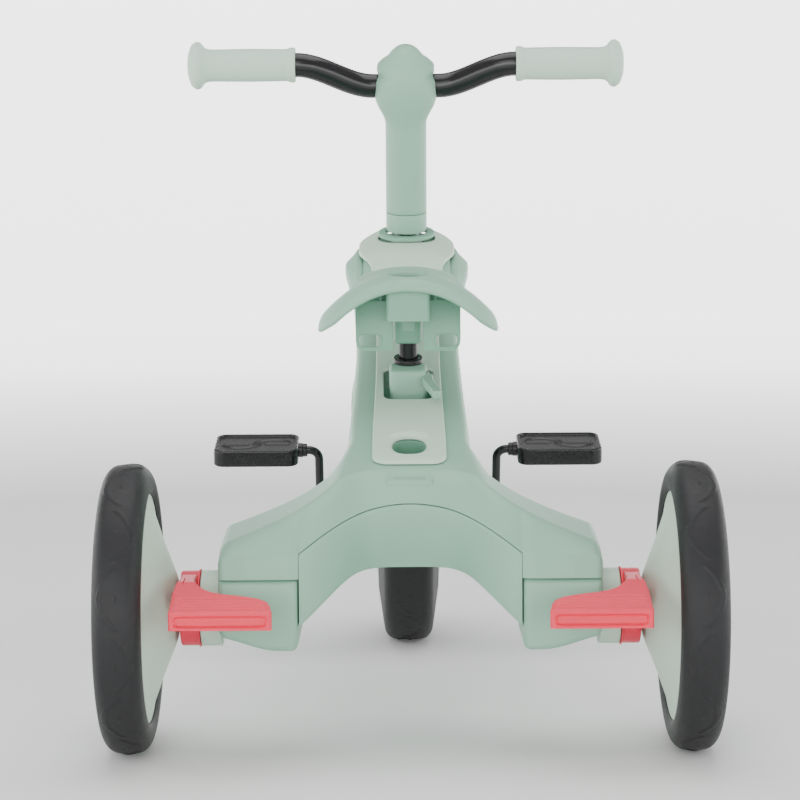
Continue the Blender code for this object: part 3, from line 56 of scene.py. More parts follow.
@dataclass(frozen=True)
class Layout:
    """Where the main axes of the tricycle stand, in metres and radians."""

    rear_r: float = 0.111
    front_r: float = 0.1225
    wheelbase: float = 0.477
    track: float = 0.4314
    rake: float = math.radians(14.0)
    post_y: float = 0.187
    post_lean: float = math.radians(15.0)
    head_top_s: float = 0.2768
    column_s: float = 0.2978
    bar_s: float = 0.4138

    @property
    def axle_y(self) -> float:
        """Where the rear axle stands, the object being centred on the origin.

        Returns: the y of the rear axle.
        """
        return -(self.wheelbase + self.front_r - self.rear_r) / 2.0

    @property
    def base(self) -> Matrix:
        """Matrix from rear-axle lengths to the row frame.

        Returns: the matrix.
        """
        return Matrix.Translation((0.0, self.axle_y, 0.0))

    @property
    def axle(self) -> Matrix:
        """Matrix at the rear axle's middle.

        Returns: the matrix.
        """
        return self.base @ Matrix.Translation((0.0, 0.0, self.rear_r))

    @property
    def head(self) -> Matrix:
        """Matrix whose Z runs up the steering axis from the front axle.

        Returns: the matrix.
        """
        return self.base @ Matrix.Translation((0.0, self.wheelbase, self.front_r)) @ turn_x(self.rake)

    @property
    def post(self) -> Matrix:
        """Matrix whose Z runs up the seat post from the deck.

        Returns: the matrix.
        """
        return self.seat @ turn_x(self.post_lean)

    @property
    def seat(self) -> Matrix:
        """Upright matrix at the post's foot on the deck.

        Returns: the matrix.
        """
        foot = float(FrameSurface().deck(np.array(self.post_y)))
        return self.base @ Matrix.Translation((0.0, self.post_y, foot))


class Side(Enum):
    """The two sides of the tricycle, seen by its rider."""

    LEFT = -1.0
    RIGHT = 1.0

    @property
    def word(self) -> str:
        """Name of the side in node names.

        Returns: left or right.
        """
        return self.name.lower()


def turn_x(angle: float) -> Matrix:
    """Rotation about X.

    Args: angle: radians.
    Returns: a 4 by 4 matrix.
    """
    return Matrix.Rotation(angle, 4, "X")


def smooth(value: np.ndarray) -> np.ndarray:
    """0 below 0, 1 above 1, and the even cubic S between.

    Args: value: any array.
    Returns: the eased array.
    """
    held = np.clip(value, 0.0, 1.0)
    return held * held * (3.0 - 2.0 * held)


def round_over(distance: np.ndarray, radius: float) -> np.ndarray:
    """How far a quarter-round edge has fallen at a distance in from the edge.

    Args: distance: from the edge; radius: of the round.
    Returns: the fall, 0 from one radius inwards.
    """
    part = 1.0 - np.clip(distance / radius, 0.0, 1.0)
    return radius * (1.0 - np.sqrt(1.0 - part * part))


def both_ways(values: Sequence[float]) -> np.ndarray:
    """Mirrored stations about zero, from rising positive ones that start at zero.

    Args: values: rising from 0.
    Returns: the array from the lowest negative to the highest.
    """
    rising = np.asarray(values, float)
    return np.concatenate([-rising[:0:-1], rising])


def edge_stations(half: float, radius: float, step: float) -> np.ndarray:
    """Stations from 0 to a half width, even inside and close together over the round edge.

    Args: half: last station; radius: of the edge; step: spacing inside.
    Returns: rising stations.
    """
    inner = np.linspace(0.0, half - radius, max(2, int(round((half - radius) / step)) + 1))
    turn = np.linspace(0.0, 0.5 * math.pi, 8)[1:]
    return np.concatenate([inner, half - radius + radius * np.sin(turn)])


def fillet(profile: Sequence[Point2], radius: float, steps: int = 5) -> np.ndarray:
    """A profile with each inner corner replaced by a quadratic arc that starts one radius before it.

    Args: profile: corners; radius: reach of each arc; steps: points to an arc.
    Returns: points as an (n, 2) array.
    """
    corners = np.asarray(profile, float)
    out = [corners[0]]
    for before, corner, after in zip(corners[:-2], corners[1:-1], corners[2:]):
        back, ahead = before - corner, after - corner
        reach = min(radius, 0.48 * np.linalg.norm(back), 0.48 * np.linalg.norm(ahead))
        first = corner + back / np.linalg.norm(back) * reach
        last = corner + ahead / np.linalg.norm(ahead) * reach
        for t in np.linspace(0.0, 1.0, steps):
            out.append((1 - t) ** 2 * first + 2 * t * (1 - t) * corner + t * t * last)
    out.append(corners[-1])
    return np.array(out)


def closed_fillet(outline: Sequence[Point2], radius: float, steps: int = 5) -> np.ndarray:
    """A closed outline with every corner rounded.

    Args: outline: corners in order; radius: reach of each arc; steps: points to an arc.
    Returns: points as an (n, 2) array, without a repeated end.
    """
    corners = [tuple(p) for p in outline]
    rounded = fillet([corners[-1]] + corners + [corners[0]], radius, steps)
    return rounded[1:-1]


def oval(half_w: float, half_l: float, power: float = 2.4, steps: int = 72) -> np.ndarray:
    """A superellipse outline: |x/a|^p + |y/b|^p = 1.

    Args: half_w, half_l: half sizes; power: fullness; steps: points.
    Returns: (n, 2) points.
    """
    angle = np.linspace(0.0, 2.0 * math.pi, steps, endpoint=False)
    c, s = np.cos(angle), np.sin(angle)
    return np.stack([half_w * np.sign(c) * np.abs(c) ** (2.0 / power),
                     half_l * np.sign(s) * np.abs(s) ** (2.0 / power)], axis=1)


# ---------------------------------------------------------------- surfaces

class Skin:
    """Points and faces of a surface, held as whole arrays."""

    def __init__(self, points: np.ndarray, faces: List[np.ndarray]) -> None:
        """Args: points: (n, 3); faces: arrays of point numbers, one row to a face."""
        self.points = np.asarray(points, float).reshape(-1, 3)
        self.faces = faces

    @classmethod
    def grid(cls, nodes: np.ndarray, wrap: bool = True, lids: bool = True) -> "Skin":
        """A two-parameter surface of rows of points.

        Args: nodes: (rows, columns, 3); wrap: join the last column to the first; lids: close both end rows.
        Returns: the skin.
        """
        rows, columns = nodes.shape[:2]
        number = np.arange(rows * columns).reshape(rows, columns)
        if wrap:
            number = np.concatenate([number, number[:, :1]], axis=1)
        quads = np.stack([number[:-1, :-1], number[:-1, 1:], number[1:, 1:], number[1:, :-1]], axis=-1)
        skin = cls(nodes, [quads.reshape(-1, 4)])
        if lids and wrap:
            for row in (0, rows - 1):
                skin.add_lid(number[row, :-1])
        return skin

    def add_lid(self, ring: np.ndarray) -> None:
        """Close a ring of points with one face.

        Args: ring: point numbers in order.
        """
        self.faces.append(np.asarray(ring)[None, :])

    @classmethod
    def turned(cls, profile: np.ndarray, steps: int = 96, closed: bool = True) -> "Skin":
        """A profile of (along, radius) turned about X; an open profile ends on the axis.

        Args: profile: (n, 2); steps: round the axis; closed: join its ends.
        Returns: the skin.
        """
        profile = np.asarray(profile, float)
        if closed:
            profile = np.vstack([profile, profile[:1]])
        angle = np.linspace(0.0, 2.0 * math.pi, steps, endpoint=False)
        along = np.repeat(profile[:, :1], steps, axis=1)
        nodes = np.stack([along, profile[:, 1:] * np.cos(angle), profile[:, 1:] * np.sin(angle)], axis=-1)
        return cls.grid(nodes, True, not closed)

    @classmethod
    def tube(cls, path: np.ndarray, radius: float, sides: int = 28) -> "Skin":
        """A round tube along a path, its rings square to the path's own direction.

        Args: path: (n, 3); radius: of the tube; sides: round it.
        Returns: the skin.
        """
        path = np.asarray(path, float)
        along = np.gradient(path, axis=0)
        along /= np.linalg.norm(along, axis=1)[:, None]
        start = np.array([0.0, 0.0, 1.0]) if abs(along[0][2]) < 0.9 else np.array([0.0, 1.0, 0.0])
        rings = []
        for point, way in zip(path, along):
            start = start - way * np.dot(start, way)
            start /= np.linalg.norm(start)
            other = np.cross(way, start)
            angle = np.linspace(0.0, 2.0 * math.pi, sides, endpoint=False)[:, None]
            rings.append(point + radius * (np.cos(angle) * start + np.sin(angle) * other))
        return cls.grid(np.array(rings))

    @classmethod
    def prism(cls, outline: np.ndarray, levels: Sequence[Tuple[float, float]]) -> "Skin":
        """An outline carried up Z through levels, drawn in or out at each of them.

        Args: outline: (n, 2) round the Z axis; levels: (z, distance drawn inwards).
        Returns: the skin.
        """
        outline = np.asarray(outline, float)
        ahead = np.roll(outline, -1, axis=0) - np.roll(outline, 1, axis=0)
        normal = np.stack([ahead[:, 1], -ahead[:, 0]], axis=1)
        normal /= np.linalg.norm(normal, axis=1)[:, None] + 1e-12
        area = 0.5 * np.sum(outline[:, 0] * np.roll(outline[:, 1], -1) - np.roll(outline[:, 0], -1)
                            * outline[:, 1])
        inward = -normal if area > 0 else normal
        rings = [np.column_stack([outline + inward * draw, np.full(len(outline), z)]) for z, draw in levels]
        return cls.grid(np.array(rings))

    def __add__(self, other: "Skin") -> "Skin":
        """Both skins as one.

        Args: other: the second.
        Returns: a new skin.
        """
        start = len(self.points)
        return Skin(np.vstack([self.points, other.points]), self.faces + [f + start for f in other.faces])

    def placed(self, matrix: Matrix) -> "Skin":
        """The skin moved by a matrix.

        Args: matrix: 4 by 4.
        Returns: a new skin.
        """
        m = np.array(matrix)
        return Skin(self.points @ m[:3, :3].T + m[:3, 3], self.faces)

    def sided(self, side: Side) -> "Skin":
        """The skin as drawn for the right, or mirrored in X for the left.

        Args: side: which.
        Returns: a new skin.
        """
        return Skin(self.points * np.array([side.value, 1.0, 1.0]), self.faces)

    def reordered(self, axes: Sequence[int]) -> "Skin":
        """The skin with its coordinates in another order.

        Args: axes: which old coordinate each new one is.
        Returns: a new skin.
        """
        return Skin(self.points[:, list(axes)], self.faces)

    def mesh(self, name: str, weld: float = 2e-6) -> bpy.types.Mesh:
        """The skin as a mesh, welded, with every face looking outwards.

        Args: name: of the mesh; weld: distance made one.
        Returns: the mesh.
        """
        mesh = bpy.data.meshes.new(name)
        mesh.from_pydata(self.points.tolist(), [], [row for f in self.faces for row in f.tolist()])
        work = bmesh.new()
        work.from_mesh(mesh)
        bmesh.ops.remove_doubles(work, verts=work.verts, dist=weld)
        bmesh.ops.dissolve_degenerate(work, edges=work.edges, dist=1e-7)
        bmesh.ops.recalc_face_normals(work, faces=work.faces)
        work.to_mesh(mesh)
        work.free()
        return mesh


# ---------------------------------------------------------------- finishes

class Nature(Enum):
    """What a finish is made of."""

    PLASTIC = "plastic"
    RUBBER = "rubber"
    METAL = "metal"


@dataclass(frozen=True)
class Finish:
    """One surface finish. Lengths are real millimetres on the piece."""

    slot: str
    colour: str
    roughness: float
    nature: Nature = Nature.PLASTIC
    grain_mm: float = 0.55
    grain_depth_mm: float = 0.012
    mottle: float = 0.035
    mottle_mm: float = 26.0
    roughness_spread: float = 0.06


FINISHES = (
    Finish("body_mint", "#8AB49E", 0.46),
    Finish("pale_mint", "#BFD6C4", 0.44),
    Finish("deep_mint", "#77A990", 0.46),
    Finish("grip_mint", "#BDD5C4", 0.58, Nature.RUBBER, 0.8, 0.03),
    Finish("tyre_black", "#1F1F21", 0.54, Nature.RUBBER, 0.9, 0.035, 0.10, 18.0, 0.10),
    Finish("bar_black", "#141416", 0.20, Nature.PLASTIC, 1.4, 0.004, 0.04, 30.0, 0.05),
    Finish("pedal_black", "#101012", 0.27, Nature.PLASTIC, 0.6, 0.010, 0.06, 20.0, 0.08),
    Finish("brake_red", "#EE2F4C", 0.40),
    Finish("steel", "#B9BDC0", 0.28, Nature.METAL, 0.5, 0.004, 0.05, 12.0, 0.10),
    Finish("bush_white", "#E6E7E2", 0.48),
)


def linear(code: str) -> Tuple[float, float, float, float]:
    """A colour code as linear light.

    Args: code: six hex digits after a hash.
    Returns: red, green, blue and alpha.
    """
    parts = [int(code[i:i + 2], 16) / 255.0 for i in (1, 3, 5)]
    light = [p / 12.92 if p <= 0.04045 else ((p + 0.055) / 1.055) ** 2.4 for p in parts]
    return (light[0], light[1], light[2], 1.0)


def add_node(tree: bpy.types.NodeTree, kind: str, settings: Optional[Dict] = None,
             links: Optional[Dict] = None) -> bpy.types.Node:
    """Add a node, set its properties or inputs, and link its inputs.

    Args: tree: the node tree; kind: node type; settings: property or input values; links: input to socket.
    Returns: the node.
    """
    node = tree.nodes.new(kind)
    for key, value in (settings or {}).items():
        if isinstance(key, str) and hasattr(node, key):
            setattr(node, key, value)
        else:
            node.inputs[key].default_value = value
    for key, socket in (links or {}).items():
        tree.links.new(socket, node.inputs[key])
    return node


class Palette:
    """The materials of every slot, built once."""

    def __init__(self, finishes: Iterable[Finish]) -> None:
        """Args: finishes: one to a slot."""
        self.materials = {finish.slot: self.build(finish) for finish in finishes}

    def build(self, finish: Finish) -> bpy.types.Material:
        """A procedural material: cloudy colour and gloss, and a fine moulded grain.

        Args: finish: what it looks like.
        Returns: the material.
        """
        material = bpy.data.materials.new(finish.slot)
        material.use_nodes = True
        tree = material.node_tree
        tree.nodes.clear()
        place = add_node(tree, "ShaderNodeTexCoord").outputs["Object"]
        clouds = add_node(tree, "ShaderNodeTexNoise", {"Scale": 1000.0 / finish.mottle_mm, "Detail": 4.0,
                                                       "Roughness": 0.6}, {"Vector": place})
        grain = add_node(tree, "ShaderNodeTexNoise", {"Scale": 1000.0 / finish.grain_mm, "Detail": 2.0,
                                                      "Roughness": 0.5}, {"Vector": place})
        spots = add_node(tree, "ShaderNodeTexNoise", {"Scale": 4500.0 / finish.mottle_mm, "Detail": 3.0,
                                                      "Roughness": 0.55}, {"Vector": place})
        tone = add_node(tree, "ShaderNodeMapRange",
                        {"To Min": 1.0 - finish.mottle, "To Max": 1.0 + finish.mottle},
                        {"Value": clouds.outputs["Fac"]})
        colour = add_node(tree, "ShaderNodeMix", {"data_type": "RGBA", "blend_type": "MULTIPLY"})
        colour.inputs[0].default_value = 1.0
        colour.inputs[6].default_value = linear(finish.colour)
        tree.links.new(tone.outputs["Result"], colour.inputs[7])
        gloss = add_node(tree, "ShaderNodeMapRange", {"To Min": finish.roughness - finish.roughness_spread,
                                                      "To Max": finish.roughness + finish.roughness_spread},
                         {"Value": spots.outputs["Fac"]})
        bump = add_node(tree, "ShaderNodeBump", {"Strength": 0.6, "Distance": finish.grain_depth_mm / 1000.0},
                        {"Height": grain.outputs["Fac"]})
        shader = add_node(tree, "ShaderNodeBsdfPrincipled",
                          {"Metallic": 1.0 if finish.nature is Nature.METAL else 0.0},
                          {"Base Color": colour.outputs[2], "Roughness": gloss.outputs["Result"],
                           "Normal": bump.outputs["Normal"]})
        if finish.nature is Nature.RUBBER:
            shader.inputs["Specular IOR Level"].default_value = 0.35
        add_node(tree, "ShaderNodeOutputMaterial", None, {"Surface": shader.outputs["BSDF"]})
        return material

    def paint_cad(self, nodes: Dict[str, bpy.types.Object]) -> None:
        """Give every CAD node the material of its own slot.

        Args: nodes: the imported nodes.
        """
        for node in nodes.values():
            for number, old in enumerate(list(node.data.materials)):
                name = old.name.split(".")[0] if old else ""
                if name in self.materials:
                    node.data.materials[number] = self.materials[name]


class Maker:
    """Turns skins into named pieces of the tricycle."""

    def __init__(self, palette: Palette) -> None:
        """Args: palette: the materials."""
        self.palette = palette

    def piece(self, name: str, skin: Skin, slot: str, body: str, replaces: Sequence[str] = (),
              cuts: Sequence[Skin] = (), sharp: float = 38.0) -> bpy.types.Object:
        """Make one piece.

        Args: name, skin: the piece; slot: its finish; body: what it moves with; replaces: CAD nodes it
        stands for; cuts: bodies taken out of it; sharp: degrees above which an edge stays crisp.
        Returns: the object.
        """
        mesh = skin.mesh(name)
        made = bpy.data.objects.new(name.replace(" ", "_") + "_skin", mesh)
        bpy.context.scene.collection.objects.link(made)
        for cut in cuts:
            self.cut(made, cut)
        mesh = made.data
        mesh.materials.clear()
        mesh.materials.append(self.palette.materials[slot])
        mesh.shade_smooth()
        mesh.set_sharp_from_angle(angle=math.radians(sharp))
        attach(made, body)
        if replaces:
            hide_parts(*replaces)
        LOG.info("%-26s %-12s rides %-18s %6d faces", name, slot, body, len(mesh.polygons))
        return made

    def cut(self, made: bpy.types.Object, cutter: Skin) -> None:
        """Take a body out of a piece at once.

        Args: made: the piece; cutter: the body.
        """
        tool = bpy.data.objects.new("tool", cutter.mesh("tool"))
        bpy.context.scene.collection.objects.link(tool)
        modifier = made.modifiers.new("cut", "BOOLEAN")
        modifier.operation = "DIFFERENCE"
        modifier.solver = "EXACT"
        modifier.object = tool
        graph = bpy.context.evaluated_depsgraph_get()
        result = bpy.data.meshes.new_from_object(made.evaluated_get(graph))
        made.modifiers.clear()
        old = made.data
        made.data = result
        bpy.data.meshes.remove(old)
        bpy.data.objects.remove(tool)


# ---------------------------------------------------------------- frame

@dataclass(frozen=True)
class FrameSurface:
    """The moulded frame's surfaces over plan positions x and y, y being measured from the rear axle."""

    axle_z: float = 0.111
    deck_rise: float = 0.1005
    deck_slope: float = 0.31
    neck_slope: float = 0.75
    knee_y: float = 0.285
    knee_soft: float = 0.018
    half_rear: float = 0.0489
    half_front: float = 0.0428
    flare_r: float = 0.040
    flare_y: float = 0.085
    belly_rise: float = 0.028
    belly_slope: float = 0.25
    neck_turn: float = 0.28
    crown_swing: float = 0.080
    arm_end: float = 0.0842
    cap_end: float = 0.1445
    cap_low: float = 0.1396
    front_y: float = 0.0452
    shoulder: float = 0.0065
    edge_run: float = 0.025
    rake: float = math.radians(14.0)
    wheelbase: float = 0.477
    front_r: float = 0.1225
    head_s: float = 0.1568
    head_top_s: float = 0.2768
    nose_ahead: float = 0.031

    def steer(self, s: float, ahead: float = 0.0) -> Point2:
        """A place by its height up the steering axis.

        Args: s: above the front axle; ahead: of the axis.
        Returns: (y, z).
        """
        return (self.wheelbase - s * math.sin(self.rake) + ahead * math.cos(self.rake),
                self.front_r + s * math.cos(self.rake) + ahead * math.sin(self.rake))

    @property
    def nose_y(self) -> float:
        """Foremost y of the frame.

        Returns: the y.
        """
        return self.steer(self.head_s, self.nose_ahead)[0]

    def lean(self, y: np.ndarray, z: np.ndarray) -> np.ndarray:
        """The neck leans back with the steering axis: y less tan(rake) times the height over the head's foot.

        Args: y, z: the place before the lean.
        Returns: y after it.
        """
        return y - math.tan(self.rake) * (z - self.steer(self.head_s)[1]) * smooth((y - 0.33) / 0.08)

    def deck(self, y: np.ndarray) -> np.ndarray:
        """The spine's top line: two slopes joined by a soft knee, held under the head's top plane.

        Args: y: distances.
        Returns: heights.
        """
        rise = self.knee_soft * np.log1p(np.exp((y - self.knee_y) / self.knee_soft))
        line = self.axle_z + self.deck_rise + self.deck_slope * y + (self.neck_slope - self.deck_slope) * rise
        slope = math.tan(self.rake)
        head_z = self.steer(self.head_s)[1]
        top_y, top_z = self.steer(self.head_top_s - 0.0052)
        plane = (top_z + slope * (y + slope * head_z - top_y)) / (1.0 + slope * slope)
        return line - 0.010 * np.log1p(np.exp((line - plane) / 0.010))

    def neck_fall(self, x: np.ndarray, y: np.ndarray) -> np.ndarray:
        """How far the neck's crown has fallen at x: 11 mm at 44 mm, as a parabola.

        Args: x, y: places.
        Returns: the fall.
        """
        return 0.011 * smooth((y - 0.29) / 0.11) * (x / 0.044) ** 2

    def seam(self, x: np.ndarray) -> np.ndarray:
        """Height of the seam over the rear panel, a parabola in x.

        Args: x: places.
        Returns: heights.
        """
        return self.axle_z + 0.0806 - 4.74 * np.minimum(np.abs(x), 0.084) ** 2

    def rear(self, x: np.ndarray) -> np.ndarray:
        """The rear line of the arms and their end caps, with a round outer corner.

        Args: x: places.
        Returns: y.
        """
        a = np.abs(x)
        arm = -0.012 - 0.033 * smooth((a - 0.028) / 0.056)
        cap = -0.0478 + 0.0028 * (np.clip(0.0945 - a, 0.0, 1.0) / 0.0105) ** 2
        return np.where(a < 0.084, arm, cap) + self.corner(a)

    def corner(self, a: np.ndarray, radius: float = 0.0055) -> np.ndarray:
        """How far the cap's outer corner has turned inwards at a half width.

        Args: a: half widths; radius: of the corner.
        Returns: the inset.
        """
        return round_over(self.cap_end - a, radius)

    def front(self, x: np.ndarray) -> np.ndarray:
        """The front line: a quarter circle from the spine's side to the arm's front, then straight.

        Args: x: places.
        Returns: y.
        """
        a = np.abs(x)
        centre = self.half_rear + self.flare_r
        reach = np.sqrt(np.clip(self.flare_r ** 2 - (a - centre) ** 2, 0.0, None))
        flare = np.where(a < self.half_rear, self.flare_y, self.flare_y - reach)
        return np.where(a < self.arm_end - 1e-4, flare, self.front_y - self.corner(a))

    def half(self, y: np.ndarray) -> np.ndarray:
        """Half width of the spine, narrowing forwards and closing round the nose.

        Args: y: distances.
        Returns: half widths.
        """
        side_top = self.nose_y - 0.030
        share = np.clip((side_top - y) / (side_top - self.flare_y), 0.0, 1.0)
        width = self.half_front + (self.half_rear - self.half_front) * share ** 1.6
        close = np.clip((y - side_top) / 0.030, 0.0, 1.0)
        return width * (1.0 - close ** 2.6) ** (1.0 / 2.6)

    def inset(self, x: np.ndarray, y: np.ndarray) -> np.ndarray:
        """Distance inwards from the plan's side and front boundary.

        Args: x, y: places.
        Returns: distances, never below 0.
        """
        a = np.abs(x)
        centre = self.half_rear + self.flare_r
        spine = np.minimum(self.half(y) - a, 1.4 * (self.nose_y - y))
        flare = np.hypot(a - centre, y - self.flare_y) - self.flare_r
        arm = np.where(a < centre, flare, 1.0)
        arm = np.where(a > self.arm_end - 1e-4, self.front(x) - y, arm)
        arm = np.minimum(arm, self.cap_end - a)
        return np.clip(np.where(y >= self.flare_y, spine, arm), 0.0, None)

    def belly(self, x: np.ndarray, y: np.ndarray) -> np.ndarray:
        """The underside: an arch between the legs, rising forwards, then square to the steering axis.

        Args: x, y: places.
        Returns: heights.
        """
        head_y, head_z = self.steer(self.head_s)
        level = self.axle_z + self.belly_rise
        on_arm = 1.0 - smooth((y - 0.05) / 0.06)
        rear_part = level + on_arm * (self.arch(x) - level) + self.belly_slope * np.maximum(y, 0.0)
        neck_part = head_z + math.tan(self.rake) * (y - head_y)
        blend = smooth((y - self.neck_turn) / (head_y - self.crown_swing - self.neck_turn))
        return (1.0 - blend) * rear_part + blend * neck_part

    def arch(self, x: np.ndarray) -> np.ndarray:
        """Lower edge of the arms: level in the middle, then a soft turn down to the legs.

        Args: x: places.
        Returns: heights.
        """
        soft = 0.005
        past = soft * np.log1p(np.exp((np.abs(x) - 0.0440) / soft))
        return self.axle_z + self.belly_rise + 0.001 - 0.92 * past

    def dips(self, x: np.ndarray, y: np.ndarray) -> np.ndarray:
        """Room under the deck panel's openings and the slot at the rear edge.

        Args: x, y: places.
        Returns: how far the skin is sunk.
        """
        cup = (np.abs(x / 0.0205) ** 2.4 + np.abs((y - 0.055) / 0.0245) ** 2.4) ** (1 / 2.4)
        pocket = np.maximum(np.abs(x) / 0.0250, np.abs(y - 0.1740) / 0.0410)
        slot = np.maximum(np.abs(x) / 0.0150, np.abs(y - 0.0052) / 0.0042)
        return (0.052 * smooth((1.0 - cup) / 0.09) + 0.016 * smooth((1.0 - pocket) / 0.07)
                + 0.006 * smooth((1.0 - slot) / 0.2))

    def top(self, x: np.ndarray, y: np.ndarray) -> np.ndarray:
        """The upper skin: the spine, the arms falling to their caps, the soft rear edge and round shoulders.

        Args: x, y: places.
        Returns: heights.
        """
        a = np.abs(x)
        share = np.clip((a - 0.0845) / 0.060, 0.0, 1.0)
        on_arm = smooth((a - 0.042) / 0.022) * smooth((0.115 - y) / 0.05)
        spine = self.deck(y) - self.neck_fall(x, y) - 0.06 * np.maximum(a - 0.031, 0.0)
        arm = self.axle_z + 0.1445 - (0.98 - 2.6 * a) * a + 0.08 * y - 0.003 * share ** 3
        crest = (1.0 - on_arm) * spine + on_arm * arm
        edge = self.seam(x) + 0.0015 - 0.003 * share
        part = np.clip((y - self.rear(x)) / self.edge_run, 0.0, 1.0)
        level = edge + (crest - edge) * (1.0 - (1.0 - part) ** 1.7)
        inset = self.inset(x, y)
        fall = round_over(inset, self.shoulder) + 0.25 * (1.0 - share) * round_over(inset,
                                                                                    3.0 * self.shoulder)
        return level - fall - self.dips(x, y)

    def low(self, x: np.ndarray, y: np.ndarray) -> np.ndarray:
        """The upper piece's hidden underside: over the rear panel, then behind it down to the belly plate.

        Args: x, y: places.
        Returns: heights.
        """
        a = np.abs(x)
        run = 0.008 + 0.022 * (1.0 - smooth((a - 0.015) / 0.045))
        part = np.clip((y - self.rear(x) - 0.0042) / run, 0.0, 1.0)
        level = (1.0 - part) * (self.seam(x) + 0.0007) + part * (self.belly(x, y) + 0.0036)
        return np.where(a > self.arm_end - 1e-4, self.cap_low, level)

    def stations(self, reach: float) -> np.ndarray:
        """Half-width stations of the arms: even on the spine, by angle on the flare, even on the caps.

        Args: reach: last station.
        Returns: rising stations from 0.
        """
        spine = edge_stations(self.half_rear, self.shoulder, 0.00115)
        centre = self.half_rear + self.flare_r
        last = math.acos((centre - self.arm_end + 1e-4) / self.flare_r)
        flare = centre - self.flare_r * np.cos(np.linspace(0.0, last, 34)[1:])
        cap = self.arm_end + edge_stations(reach - self.arm_end, 0.0060,
                                           0.0016) if reach > self.arm_end else []
        return np.concatenate([spine, flare, cap])

    def plan(self, rear: Callable[[np.ndarray], np.ndarray], reach: float) -> Tuple[np.ndarray, np.ndarray]:
        """Plan grids of the two blocks: the crossbar with its caps, and the spine ahead of it.

        Args: rear: the rear line; reach: half width of the crossbar.
        Returns: two (rows, columns, 2) grids that share the row between them.
        """
        x = both_ways(self.stations(reach))
        back, ahead = rear(x), self.front(x)
        edge = self.edge_run * np.array([0.0, 0.01, 0.03, 0.06, 0.1, 0.16, 0.23, 0.31, 0.4, 0.5, 0.62, 0.75,
                                         0.88])
        round_part = self.shoulder * (1.0 - np.sin(np.linspace(0.0, 0.5 * math.pi, 8)))
        start, stop = back + self.edge_run, ahead - self.shoulder
        middle = start + np.linspace(0.0, 1.0, 74)[:, None] * (stop - start)
        rows = np.vstack([back + edge[:, None], middle, (ahead - round_part[:, None])[1:]])
        cross = np.stack([np.broadcast_to(x, rows.shape), rows], axis=-1)
        share = both_ways(edge_stations(self.half_rear, self.shoulder, 0.00115)) / self.half_rear
        near = np.linspace(self.flare_y, self.nose_y - 0.030, 190)
        turn = np.linspace(0.0, 0.5 * math.pi, 26)[1:]
        y = np.concatenate([near, self.nose_y - 0.030 + 0.030 * np.sin(turn)])
        width = np.maximum(self.half(y), 0.0003)
        spine = np.stack([width[:, None] * share, np.repeat(y[:, None], len(share), axis=1)], axis=-1)
        return cross, spine

    def slab(self, rear: Callable, reach: float, top: Callable, low: Callable) -> Skin:
        """A closed body between two height fields over the same plan.

        Args: rear: the rear line; reach: half width; top, low: heights over x and y.
        Returns: the skin, leaned with the neck.
        """
        flat, quads, start = [], [], 0
        for block in self.plan(rear, reach):
            rows, columns = block.shape[:2]
            number = start + np.arange(rows * columns).reshape(rows, columns)
            quads.append(np.stack([number[:-1, :-1], number[:-1, 1:], number[1:, 1:], number[1:, :-1]],
                                  axis=-1).reshape(-1, 4))
            flat.append(block.reshape(-1, 2))
            start += rows * columns
        place, faces = np.vstack(flat), np.vstack(quads)
        _, first, same = np.unique(np.round(place / 1e-6).astype(np.int64), axis=0,
                                   return_index=True, return_inverse=True)
        place, faces = place[first], same.reshape(-1)[faces]
        x, y = place[:, 0], place[:, 1]
        edges = np.concatenate([faces[:, [0, 1]], faces[:, [1, 2]], faces[:, [2, 3]], faces[:, [3, 0]]])
        edges = edges[edges[:, 0] != edges[:, 1]]
        _, index, count = np.unique(np.sort(edges, axis=1), axis=0, return_inverse=True, return_counts=True)
        rim = edges[count[index.reshape(-1)] == 1]
        high, under = top(x, y), low(x, y)
        points = np.vstack([np.column_stack([x, self.lean(y, high), high]),
                            np.column_stack([x, self.lean(y, under), under])])
        total = len(place)
        wall = np.column_stack([rim[:, 1], rim[:, 0], rim[:, 0] + total, rim[:, 1] + total])
        return Skin(points, [faces, faces[:, ::-1] + total, wall])


